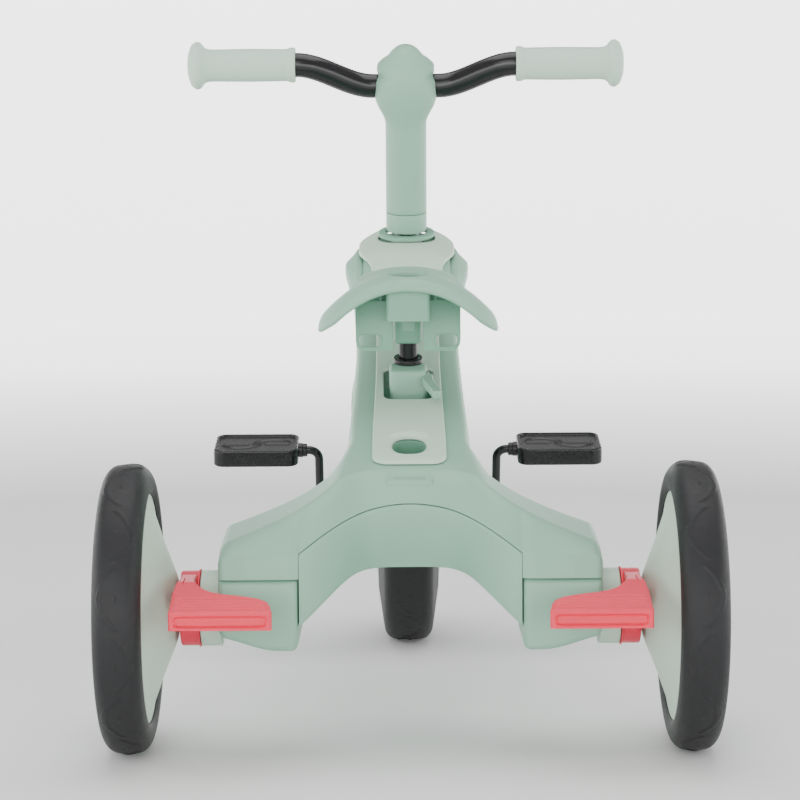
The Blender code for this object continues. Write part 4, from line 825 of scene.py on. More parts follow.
class FrameShells:
    """The two moulded shells, the legs and the axle bosses."""

    def __init__(self, layout: Layout, surface: FrameSurface) -> None:
        """Args: layout: main axes; surface: the frame's surfaces."""
        self.layout = layout
        self.surface = surface

    def foot(self, x: np.ndarray) -> np.ndarray:
        """Where the rear panel meets the underside.

        Args: x: places.
        Returns: y.
        """
        return self.surface.rear(x) + 0.020 * (1.0 - smooth((np.abs(x) - 0.015) / 0.045))

    def upper(self) -> Skin:
        """The upper skin with its arms and end caps in one body.

        Returns: the skin.
        """
        s = self.surface
        return s.slab(s.rear, s.cap_end, s.top, s.low).placed(self.layout.base)

    def panel(self) -> Skin:
        """The rear panel: an upright strip under the seam whose foot is drawn forwards in the middle.

        Returns: the skin.
        """
        s = self.surface
        x = both_ways(np.linspace(0.0, 0.0838, 64))
        high, low = s.seam(x) - 0.0002, s.arch(x)
        lips = 0.0022
        down = np.concatenate([np.linspace(0.0, 1.0, 26), np.full(5, 1.0)])
        rings = []
        for t, turn in zip(down, [0.0] * 26 + list(np.linspace(0.2, 1.0, 5) * 0.5 * math.pi)):
            z = high + (low + lips - high) * t - lips * math.sin(turn)
            y = s.rear(x) + (self.foot(x) - s.rear(x)) * t ** 1.6 + lips * (1.0 - math.cos(turn))
            y = y + 0.0007 * np.exp(-(high - z) / 0.0008)
            rings.append(np.column_stack([x, y, z]))
        outer = np.array(rings)
        inner = outer[::-1].copy()
        inner[:, :, 1] += 0.0035
        nodes = np.concatenate([outer, inner], axis=0).transpose(1, 0, 2)
        return Skin.grid(nodes).placed(self.layout.base)

    def lower(self) -> Skin:
        """The belly plate and the rear panel as the lower shell.

        Returns: the skin.
        """
        s = self.surface
        plate = s.slab(lambda x: self.foot(x) + 0.0020, 0.0838,
                       lambda x, y: s.belly(x, y) + 0.0030,
                       lambda x, y: s.belly(x, y) + 0.4 * round_over(s.inset(x, y), 0.0024))
        return plate.placed(self.layout.base) + self.panel()

    def leg(self) -> Skin:
        """The leg under the cap on the right: a round-cornered box whose bottom rises outwards.

        Returns: the skin.
        """
        s = self.surface
        near, far, top, radius = 0.0848, s.cap_end, 0.1390, 0.0055
        turn = np.linspace(0.0, 0.5 * math.pi, 8)
        x = np.concatenate([near + radius * (1.0 - np.cos(turn)),
                            np.linspace(near + radius, far - radius, 26)[1:-1],
                            far - radius + radius * np.sin(turn)])
        share = (x - near) / (far - near)
        bottom = s.axle_z - 0.026 * (1.0 - 0.42 * smooth((share - 0.25) / 0.85))
        draw = np.maximum(round_over(x - near, radius), round_over(far - x, radius))
        rear, ahead = -0.0478 + draw, s.front_y - draw
        rings = []
        for i in range(len(x)):
            low = bottom[i] + draw[i]
            half = closed_fillet([(rear[i], top), (rear[i], low), (ahead[i], low), (ahead[i], top)], 0.006, 7)
            rings.append(np.column_stack([np.full(len(half), x[i]), half]))
        return Skin.grid(np.array(rings)).placed(self.layout.base)

    def boss(self) -> Skin:
        """The round boss on the leg's outer face.

        Returns: the skin, for the right.
        """
        profile = fillet([(0.1440, 0.0055), (0.1440, 0.0290), (0.1600, 0.0290), (0.1600, 0.0255),
                          (0.1594, 0.0250), (0.1594, 0.0055)], 0.0012)
        return Skin.turned(profile).placed(self.layout.axle)

    def build(self, maker: Maker) -> None:
        """Make the pieces.

        Args: maker: makes them.
        """
        maker.piece("frame upper skin", self.upper(), "body_mint", "frame",
                    ("frame_upper_shell", "arm_cap_left", "arm_cap_right"), sharp=50.0)
        maker.piece("frame lower skin", self.lower(), "body_mint", "frame", ("frame_lower_shell",),
                    sharp=50.0)
        for side in Side:
            maker.piece("leg " + side.word, self.leg().sided(side), "body_mint", "frame",
                        ("rear_leg_" + side.word,))
            maker.piece("boss " + side.word, self.boss().sided(side), "pale_mint", "frame",
                        ("axle_boss_" + side.word,))


# ---------------------------------------------------------------- deck and neck covers

@dataclass(frozen=True)
class Deck:
    """The pale panel on the spine with its openings, the cup under it and the slot at the rear edge."""

    layout: Layout
    surface: FrameSurface
    rear_y: float = 0.0200
    front_y: float = 0.2728
    half_rear: float = 0.0290
    narrowing: float = 0.0018
    corner: float = 0.0120
    thick: float = 0.0025
    lift: float = 0.0012
    cup_w: float = 0.0138
    cup_l: float = 0.0170
    cup_y: float = 0.0570
    cup_depth: float = 0.0440

    def half(self, y: np.ndarray) -> np.ndarray:
        """Half width, drawn in by a quarter circle at the rear corners.

        Args: y: places.
        Returns: half widths.
        """
        return (self.half_rear - self.narrowing * smooth((y - 0.05) / 0.15)
                - round_over(y - self.rear_y, self.corner))

    def cup_frame(self) -> Matrix:
        """Matrix square to the deck at the cup.

        Returns: the matrix.
        """
        place = (0.0, self.cup_y, float(self.surface.deck(np.array(self.cup_y))))
        return self.layout.base @ Matrix.Translation(place) @ turn_x(math.atan(self.surface.deck_slope))

    def panel(self) -> Skin:
        """The panel: the deck's line lifted, dished round the cup's mouth, with a small round edge.

        Returns: the skin.
        """
        turn = np.linspace(0.0, 0.5 * math.pi, 12)
        y = np.concatenate([self.rear_y + self.corner * (1.0 - np.cos(turn)),
                            np.linspace(self.rear_y + self.corner, self.front_y, 170)[1:]])
        share = both_ways(edge_stations(1.0, 0.05, 0.04))
        x = np.maximum(self.half(y), 0.004)[:, None] * share
        rows = np.repeat(y[:, None], len(share), axis=1)
        inner = np.minimum(self.half(rows) - np.abs(x), rows - self.rear_y)
        reach = (np.abs(x / self.cup_w) ** 2.4
                 + np.abs((rows - self.cup_y + 0.002) / self.cup_l) ** 2.4) ** (1 / 2.4)
        dish = 0.0034 * smooth((1.34 - reach) / 0.40)
        base = self.surface.deck(rows) + self.lift - dish
        high = base + self.thick - round_over(np.maximum(inner, 0.0), 0.0012)
        outer = np.stack([x, rows, high], axis=-1)
        under = np.stack([x, rows, base - 0.0002], axis=-1)
        return shell(outer, under).placed(self.layout.base)

    def mouth(self) -> Skin:
        """The cutter of the cup's mouth, flared at its top.

        Returns: the skin.
        """
        levels = [(-0.03, 0.0)] + [(-0.0022 + 0.0046 * t, -0.0026 * (1.0 - math.sqrt(1.0 - t * t)))
                                   for t in np.linspace(0.0, 1.0, 7)] + [(0.02, -0.0026)]
        return Skin.prism(oval(self.cup_w - 0.0003, self.cup_l - 0.0003), levels).placed(self.cup_frame())

    def pocket(self) -> Skin:
        """The cutter of the pocket round the post's clamp.

        Returns: the skin.
        """
        half_w, half_l = 0.0205, 0.0245
        back = -0.0470
        outline = closed_fillet([(-half_w, back), (half_w, back), (half_w, half_l), (-half_w, half_l)],
                                0.009, 9)
        levels = [(-0.03, 0.0)] + [(0.001 + 0.003 * t, -0.0012 * t * t) for t in np.linspace(0.0, 1.0, 5)]
        return Skin.prism(outline, levels + [(0.05, -0.0012)]).placed(self.layout.post)

    def cup(self) -> Skin:
        """The lined cup: an oval tube with a blind floor and a round rim.

        Returns: the skin.
        """
        levels = [(-self.cup_depth, 0.0020), (-0.0034, 0.0020), (-0.0030, 0.0014), (-0.0028, 0.0006),
                  (-0.0034, 0.0), (-self.cup_depth + 0.006, 0.0), (-self.cup_depth + 0.003, -0.0010),
                  (-self.cup_depth + 0.002, -0.0040)]
        rings = [np.column_stack([oval(self.cup_w + grow, self.cup_l + grow), np.full(72, z)])
                 for z, grow in levels]
        return Skin.grid(np.array(rings)).placed(self.cup_frame())

    def slot_frame(self) -> Skin:
        """The raised trapezoid frame round the slot at the spine's rear edge, with its walls and floor.

        Returns: the skin.
        """
        outer = closed_fillet([(-0.0180, -0.0005), (0.0180, -0.0005), (0.0162, 0.0108), (-0.0162, 0.0108)],
                              0.002, 5)
        inner = closed_fillet([(-0.0128, 0.0035), (0.0128, 0.0035), (0.0118, 0.0068), (-0.0118, 0.0068)],
                              0.001, 5)
        rings = []
        for outline, lift in ((outer, -0.0030), (outer, 0.0000), (0.985 * outer + 0.00008, 0.0005),
                              (1.06 * inner - [0.0, 0.0003], 0.0006), (inner, 0.0002), (inner, -0.0045)):
            z = self.surface.top(outline[:, 0],
                                 np.maximum(outline[:, 1], self.surface.rear(outline[:, 0]) + 0.001))
            z = np.maximum(z, self.surface.deck(outline[:, 1])
                           - 0.0036) if lift > -0.004 else np.full(len(z), z.max())
            rings.append(np.column_stack([outline, z + lift]))
        return Skin.grid(np.array(rings)).placed(self.layout.base)

    def build(self, maker: Maker) -> None:
        """Make the pieces.

        Args: maker: makes them.
        """
        maker.piece("deck panel", self.panel(), "pale_mint", "frame", ("deck_panel",),
                    cuts=(self.mouth(), self.pocket()), sharp=42.0)
        maker.piece("rear slot frame", self.slot_frame(), "body_mint", "frame")
        maker.piece("push bar cup", self.cup(), "deep_mint", "frame", ("push_bar_socket",))


def shell(outer: np.ndarray, inner: np.ndarray) -> Skin:
    """A closed sheet between two grids of the same shape, walled along all four sides.

    Args: outer, inner: (rows, columns, 3) grids.
    Returns: the skin.
    """
    rows, columns = outer.shape[:2]
    number = np.arange(rows * columns).reshape(rows, columns)
    quads = np.stack([number[:-1, :-1], number[:-1, 1:], number[1:, 1:], number[1:, :-1]],
                     axis=-1).reshape(-1, 4)
    total = rows * columns
    rim = np.concatenate([number[0, :], number[1:, -1], number[-1, -2::-1], number[-2:0:-1, 0]])
    wall = np.column_stack([rim, np.roll(rim, -1), np.roll(rim, -1) + total, rim + total])
    return Skin(np.vstack([outer.reshape(-1, 3), inner.reshape(-1, 3)]),
                [quads, quads[:, ::-1] + total, wall])


@dataclass(frozen=True)
class Neck:
    """The pale cover over the neck, the ring round the column's foot and the two cheeks."""

    layout: Layout
    surface: FrameSurface
    half_wide: float = 0.0440
    thick: float = 0.0040
    ring_r: float = 0.0262

    def half(self, y: np.ndarray) -> np.ndarray:
        """Half width of the cover: the deck panel's, then wider beside the column, then closing at the nose.

        Args: y: places.
        Returns: half widths.
        """
        wide = smooth((y - 0.372) / 0.055)
        start = 0.0272 + 0.0050 * smooth((y - 0.2732) / 0.06)
        nose = np.clip((y - (self.surface.nose_y - 0.026)) / 0.024, 0.0, 1.0)
        return (start + (self.half_wide - start) * wide) * np.sqrt(1.0 - 0.80 * nose ** 2.4)

    def cover(self) -> Skin:
        """The cover: follows the neck's crown, with a soft crease on each side and a round edge.

        Returns: the skin.
        """
        y = np.linspace(0.2735, self.surface.nose_y - 0.0030, 120)
        share = both_ways(edge_stations(1.0, 0.06, 0.03))
        x = self.half(y)[:, None] * share
        rows = np.repeat(y[:, None], len(share), axis=1)
        base = self.surface.deck(rows) - self.surface.neck_fall(x, rows) + 0.0012
        crease = 0.0272 + 0.17 * (rows - 0.33)
        past = np.abs(x) - crease
        shape = 0.0022 * np.exp(-(past / 0.0035) ** 2) * smooth((rows - 0.305)
                                                                / 0.03) * smooth((0.405 - rows) / 0.05)
        edge = round_over(np.minimum(self.half(rows) - np.abs(x), rows - 0.2733), 0.0016)
        high = base + self.thick - 0.0012 - edge + shape - 0.15 * np.maximum(past,
                                                                             0.0) * smooth((rows - 0.30)
                                                                                           / 0.05)
        outer = np.stack([x, self.surface.lean(rows, high), high], axis=-1)
        under = np.stack([x, self.surface.lean(rows, base), base], axis=-1)
        return shell(outer, under).placed(self.layout.base)

    def ring_hole(self) -> Skin:
        """The cutter of the round hole the base ring sits in.

        Returns: the skin.
        """
        s = self.layout.head_top_s
        profile = np.array([(s - 0.03, self.ring_r + 0.0004), (s + 0.05, self.ring_r + 0.0004)])
        return upright(Skin.turned(np.vstack([[s - 0.03, 0.0], profile, [s + 0.05, 0.0]]),
                                   closed=False)).placed(self.layout.head)

    def ring(self) -> Skin:
        """The ring round the column's foot.

        Returns: the skin.
        """
        low = self.layout.head_top_s - 0.0028
        profile = fillet([(low, 0.0195), (low, self.ring_r), (low + 0.0030, self.ring_r),
                          (low + 0.0042, 0.0240),
                          (low + 0.0042, 0.0195)], 0.0012)
        return upright(Skin.turned(profile)).placed(self.layout.head)

    def cheek(self) -> Skin:
        """The right cheek: a faceted pod on the neck's side, fullest beside the column, with soft corners.

        Returns: the skin.
        """
        stops = np.array([0.350, 0.372, 0.395, 0.418, 0.438, 0.4495])
        y = np.linspace(0.350, 0.4495, 60)
        swell = smooth((y - 0.335) / 0.100) * (1.0 - 0.55 * smooth((y - 0.438) / 0.010))
        swell = np.interp(y, stops, np.interp(stops, y, swell))
        crest = self.surface.deck(y) - self.surface.neck_fall(np.array(self.half_wide), y)
        out = 0.0114 * swell
        inner = self.surface.half_front + 0.0010
        rings = []
        for i in range(len(y)):
            corners = [(inner - 0.004, crest[i] - 0.072), (inner + 0.002 + 0.1 * out[i], crest[i] - 0.071),
                       (inner + 0.002 + 0.42 * out[i], crest[i] - 0.034),
                       (inner + 0.002 + out[i], crest[i] - 0.0185),
                       (inner + 0.002 + 0.96 * out[i], crest[i] - 0.0115),
                       (inner + 0.0016, crest[i] - 0.0012),
                       (inner - 0.004, crest[i] - 0.0012)]
            ring = closed_fillet(corners, 0.0022, 5)
            rings.append(np.column_stack([ring[:, 0], self.surface.lean(np.full(len(ring), y[i]), ring[:, 1]),
                                          ring[:, 1]]))
        return Skin.grid(np.array(rings)).placed(self.layout.base)

    def build(self, maker: Maker) -> None:
        """Make the pieces.

        Args: maker: makes them.
        """
        maker.piece("neck cover", self.cover(), "pale_mint", "frame", ("hood_cover",),
                    cuts=(self.ring_hole(),))
        maker.piece("column base ring", self.ring(), "deep_mint", "frame", ("column_base_ring",))
        for side in Side:
            maker.piece("neck cheek " + side.word, self.cheek().sided(side), "body_mint", "frame",
                        ("hood_cheek_" + side.word,), sharp=30.0)


def upright(skin: Skin) -> Skin:
    """A skin turned about X, stood up so that it is turned about Z.

    Args: skin: the skin.
    Returns: a new skin.
    """
    return skin.reordered((2, 1, 0))


# ---------------------------------------------------------------- wheels

@dataclass(frozen=True)
class Tyre:
    """A moulded tyre with raised curved bars and short dashes on its tread."""

    radius: float
    half: float
    bead: float
    flare: float = 0.0
    bars: int = 7
    bar_height: float = 0.0009
    steps: int = 840

    def profile(self) -> np.ndarray:
        """The cross-section as (x, radius) points, close together over the tread.

        Returns: (n, 2) points.
        """
        flank = self.half + self.flare
        side = [(flank - 0.0022, self.bead), (flank, self.bead + 0.0035),
                (self.half + 0.0002, self.radius - 0.0150),
                (self.half - 0.0012, self.radius - 0.0075), (self.half - 0.0065, self.radius - 0.0014)]
        shape = fillet([(-x, r) for x, r in side] + [(0.0, self.radius + 0.0002)] + side[::-1], 0.0055, 9)
        length = np.concatenate([[0.0], np.cumsum(np.linalg.norm(np.diff(shape, axis=0), axis=1))])
        even = np.linspace(0.0, length[-1], 74)
        return np.column_stack([np.interp(even, length, shape[:, 0]), np.interp(even, length, shape[:, 1])])

    def relief(self, turn: np.ndarray, across: np.ndarray) -> np.ndarray:
        """Height of the tread: rimmed arcs that lean to one side and the other in turn, and a dash between.

        Args: turn: angle round; across: place across as a share of the half width.
        Returns: heights.
        """
        pitch = 2.0 * math.pi / self.bars
        height = np.zeros(np.broadcast(turn, across).shape)
        for number, flip in ((0.25, 1.0), (0.75, -1.0)):
            along = ((turn / pitch - number + 0.5) % 1.0 - 0.5) * pitch * self.radius
            place = across * self.half * flip
            bow = 0.0075 - 0.0145 * (along / 0.024) ** 2 + 0.0035
            gap = np.abs(place - bow)
            inside = smooth((0.0235 - np.abs(along)) / 0.0015)
            rim = np.exp(-((gap - 0.0013) / 0.00055) ** 2)
            height = np.maximum(height, inside
                                * np.maximum(0.85 * rim, 0.42 * smooth((0.0016 - gap) / 0.0007)))
            dash = smooth((0.0030 - np.abs(along)) / 0.0010) * smooth((0.0011 - np.abs(place + 0.0005))
                                                                      / 0.0006)
            height = np.maximum(height, 0.8 * dash)
        return self.bar_height * height

    def skin(self) -> Skin:
        """The tyre, centred on its own axle.

        Returns: the skin.
        """
        shape = self.profile()
        angle = np.linspace(0.0, 2.0 * math.pi, self.steps, endpoint=False)
        tread = smooth((shape[:, 1] - self.radius + 0.0200) / 0.0040)
        rise = self.relief(angle[None, :], (shape[:, 0] / self.half)[:, None]) * tread[:, None]
        slope = np.gradient(shape, axis=0)
        slope /= np.linalg.norm(slope, axis=1)[:, None]
        x = shape[:, :1] - rise * slope[:, 1:]
        r = shape[:, 1:] + rise * slope[:, :1]
        cord = self.bead
        nodes = np.stack([x, r * np.cos(angle), r * np.sin(angle)], axis=-1)
        inner = np.stack([nodes[-1, :, 0] - 0.0010, np.cos(angle) * cord, np.sin(angle) * cord], axis=-1)
        first = inner * np.array([-1.0, 1.0, 1.0])
        ring = np.concatenate([nodes, inner[None], first[None], nodes[:1]], axis=0)
        return Skin.grid(ring, True, False)


class RearWheels:
    """Tyre, dished core and outer cap on each side."""

    def __init__(self, layout: Layout) -> None:
        """Args: layout: main axes."""
        self.layout = layout
        self.tyre = Tyre(layout.rear_r, 0.018, 0.0880)

    def dish(self) -> Skin:
        """The core, a cone from the rim to the inboard hub face with soft turns, drawn for the right.

        Returns: the skin.
        """
        outer = [(-0.0150, 0.0877), (-0.0172, 0.0765), (-0.0262, 0.0510), (-0.0347, 0.0300),
                 (-0.0375, 0.0225),
                 (-0.0375, 0.0085)]
        inner = [(0.0035, 0.0085), (0.0035, 0.0140), (-0.0345, 0.0200), (-0.0318, 0.0300), (-0.0232, 0.0505),
                 (-0.0142, 0.0760), (-0.0120, 0.0847), (0.0150, 0.0847), (0.0150, 0.0877)]
        return Skin.turned(fillet(outer + inner, 0.0045, 6), 160)

    def cap(self) -> Skin:
        """The outer cap: a shallow dome with two raised rings, drawn for the right.

        Returns: the skin.
        """
        profile = [(0.0110, 0.0), (0.0110, 0.0842), (0.0146, 0.0842), (0.0158, 0.0800), (0.0150, 0.0760),
                   (0.0162, 0.0500), (0.0172, 0.0480), (0.0165, 0.0300), (0.0178, 0.0240), (0.0182, 0.0)]
        return Skin.turned(fillet(profile, 0.0025, 6), 160, False)

    def build(self, maker: Maker) -> None:
        """Make the pieces.

        Args: maker: makes them.
        """
        for side in Side:
            body = "rear_wheel_" + side.word
            place = self.layout.base @ Matrix.Translation((0.5 * self.layout.track, 0.0, self.layout.rear_r))
            for name, skin, slot, node in (("rear tyre", self.tyre.skin(), "tyre_black", "rear_tyre_"),
                                           ("rear dish", self.dish(), "pale_mint", "rear_wheel_dish_"),
                                           ("rear cap", self.cap(), "pale_mint", "rear_wheel_cap_")):
                maker.piece(name + " " + side.word, skin.placed(place).sided(side), slot, body,
                            (node + side.word,))


class FrontWheel:
    """Tyre and two side discs on the steered wheel."""

    def __init__(self, layout: Layout) -> None:
        """Args: layout: main axes."""
        self.layout = layout
        self.tyre = Tyre(layout.front_r, 0.0233, 0.0675, 0.0054, 8)

    def disc(self) -> Skin:
        """One side disc with a stepped face, drawn for the right.

        Returns: the skin.
        """
        profile = [(0.0005, 0.0672), (0.0268, 0.0672), (0.0287, 0.0620), (0.0300, 0.0560), (0.0322, 0.0520),
                   (0.0338, 0.0372), (0.0345, 0.0200), (0.0360, 0.0180), (0.0360, 0.0089), (0.0330, 0.0089),
                   (0.0315, 0.0352), (0.0257, 0.0592), (0.0237, 0.0642), (0.0005, 0.0642)]
        return Skin.turned(fillet(profile, 0.0020, 5), 140)

    def build(self, maker: Maker) -> None:
        """Make the pieces.

        Args: maker: makes them.
        """
        place = self.layout.head @ turn_x(-self.layout.rake)
        maker.piece("front tyre", self.tyre.skin().placed(place), "tyre_black", "front_wheel",
                    ("front_tyre",))
        for side in Side:
            maker.piece("front disc " + side.word, self.disc().placed(place).sided(side), "pale_mint",
                        "front_wheel",
                        ("front_wheel_disc_" + side.word,))


@dataclass(frozen=True)
class Brake:
    """The red lever: a collar on the axle and a sloping foot plate with a curved front edge."""

    layout: Layout
    thick: float = 0.0075

    def plate(self) -> Skin:
        """The foot plate on the right: grooved top, a lip with an oblong recess, all one bent sheet.

        Returns: the skin.
        """
        top_y = np.concatenate([np.linspace(-0.010, -0.060, 26), np.linspace(-0.060, -0.0985, 110)[1:]])
        top_z = np.interp(-top_y, [0.010, 0.020, 0.053, 0.060, 0.0985],
                          [0.0275, 0.0290, 0.0285, 0.0268, 0.0142])
        bend = np.linspace(0.0, 0.5 * math.pi, 9)[1:]
        lip = np.linspace(0.0127, -0.0002, 36)[1:]
        y = np.concatenate([top_y, -0.0985 - 0.0015 * np.sin(bend), np.full(len(lip), -0.1)])
        z = np.concatenate([top_z, 0.0142 - 0.0015 * (1.0 - np.cos(bend)), lip])
        inboard = np.interp(-y, [0.0, 0.040, 0.050, 0.058, 0.065, 0.070, 0.0735, 0.0765, 0.080, 0.085, 0.091,
                                 0.1],
                            [0.1625, 0.1625, 0.1618, 0.1585, 0.1535, 0.1470, 0.1370, 0.1230, 0.1120, 0.1055,
                             0.1030,
                             0.1018])
        outboard = np.interp(-y, [0.0, 0.045, 0.060, 0.075, 0.1], [0.1735, 0.1740, 0.1755, 0.1765, 0.1772])
        kernel = np.ones(5) / 5.0
        padded = np.pad(inboard, 2, mode="edge")
        inboard = np.convolve(padded, kernel, mode="valid")
        share = np.concatenate([0.5 * (1.0 - np.cos(np.linspace(0.0, math.pi, 12)))[:6] * 0.16,
                                np.linspace(0.08, 0.92, 60), 1.0 - 0.5 * (1.0 - np.cos(
                                    np.linspace(0.0, math.pi, 12)))[:6][::-1] * 0.16])
        width = outboard - inboard
        x = inboard[None, :] + width[None, :] * share[:, None]
        yy, zz = np.broadcast_to(y, x.shape).copy(), np.broadcast_to(z, x.shape).copy()
        edge = round_over(np.minimum(x - inboard, outboard - x), 0.0014)
        span = smooth((x - inboard - 0.004) / 0.003) * smooth((outboard - x - 0.004) / 0.003)
        for groove in (-0.0795, -0.0835, -0.0875, -0.0915, -0.0950):
            zz -= 0.0008 * np.exp(-((yy - groove) / 0.0006) ** 2) * span * (yy > -0.0984)
        slope = np.clip((-yy - 0.0980) / 0.002, 0.0, 1.0)
        on_lip = yy < -0.0990
        oblong = np.maximum(np.abs(x - 0.1395) - 0.0300, 0.0)
        reach = np.hypot(oblong, zz - 0.0060) / 0.0048
        yy += np.where(on_lip, 0.0030 * smooth((1.0 - reach) / 0.45), 0.0)
        zz -= edge * (1.0 - slope)
        yy += edge * slope
        outer = np.stack([x, yy, zz], axis=-1)
        inner = outer.copy()
        inner[..., 2] -= (self.thick - edge) * (1.0 - slope)
        inner[..., 1] = np.where(slope > 0.0, np.maximum(inner[..., 1], -0.1) + 0.0055 * slope, inner[..., 1])
        inner[..., 2] = np.where(slope > 0.0, np.maximum(np.minimum(inner[..., 2], outer[..., 2]), -0.0002),
                                 inner[..., 2])
        return shell(outer, inner).placed(self.layout.axle)

    def collar(self) -> Skin:
        """The collar on the axle, flanged at its inner face.

        Returns: the skin.
        """
        profile = [(0.1605, 0.0056), (0.1605, 0.0300), (0.1618, 0.0300), (0.1618, 0.0288), (0.1755, 0.0288),
                   (0.1755, 0.0056)]
        return Skin.turned(fillet(profile, 0.0014, 5), 120).placed(
            self.layout.axle)

    def shoe(self) -> Skin:
        """The block that reaches towards the wheel's hub.

        Returns: the skin.
        """
        outline = closed_fillet([(-0.041, 0.006), (-0.028, 0.006), (-0.028, 0.018), (-0.041, 0.018)], 0.002,
                                5)
        block = Skin.prism(outline, [(0.1740, 0.0), (0.1790, 0.0), (0.1796, 0.0006)]).reordered((2, 0, 1))
        return block.placed(self.layout.axle)

    def window(self) -> List[Skin]:
        """Cutters of the dark window and the thin slot in the plate's neck.

        Returns: two skins.
        """
        place = self.layout.axle
        box = closed_fillet([(0.1640, -0.0205), (0.1724, -0.0205), (0.1724, -0.0125), (0.1640, -0.0125)],
                            0.0010, 4)
        slit = closed_fillet([(0.1692, -0.056), (0.1700, -0.056), (0.1700, -0.036), (0.1692, -0.036)],
                             0.0003, 4)
        return [Skin.prism(box, [(0.0255, 0.0), (0.040, 0.0)]).placed(place),
                Skin.prism(slit, [(0.0272, 0.0), (0.040, 0.0)]).placed(place)]

    def build(self, maker: Maker) -> None:
        """Make the pieces.

        Args: maker: makes them.
        """
        for side in Side:
            body = "brake_" + side.word
            maker.piece("brake plate " + side.word, self.plate().sided(side), "brake_red", body,
                        ("brake_lever_" + side.word,), cuts=[c.sided(side) for c in self.window()],
                        sharp=42.0)
            maker.piece("brake collar " + side.word, (self.collar() + self.shoe()).sided(side), "brake_red",
                        body)


# ---------------------------------------------------------------- steering

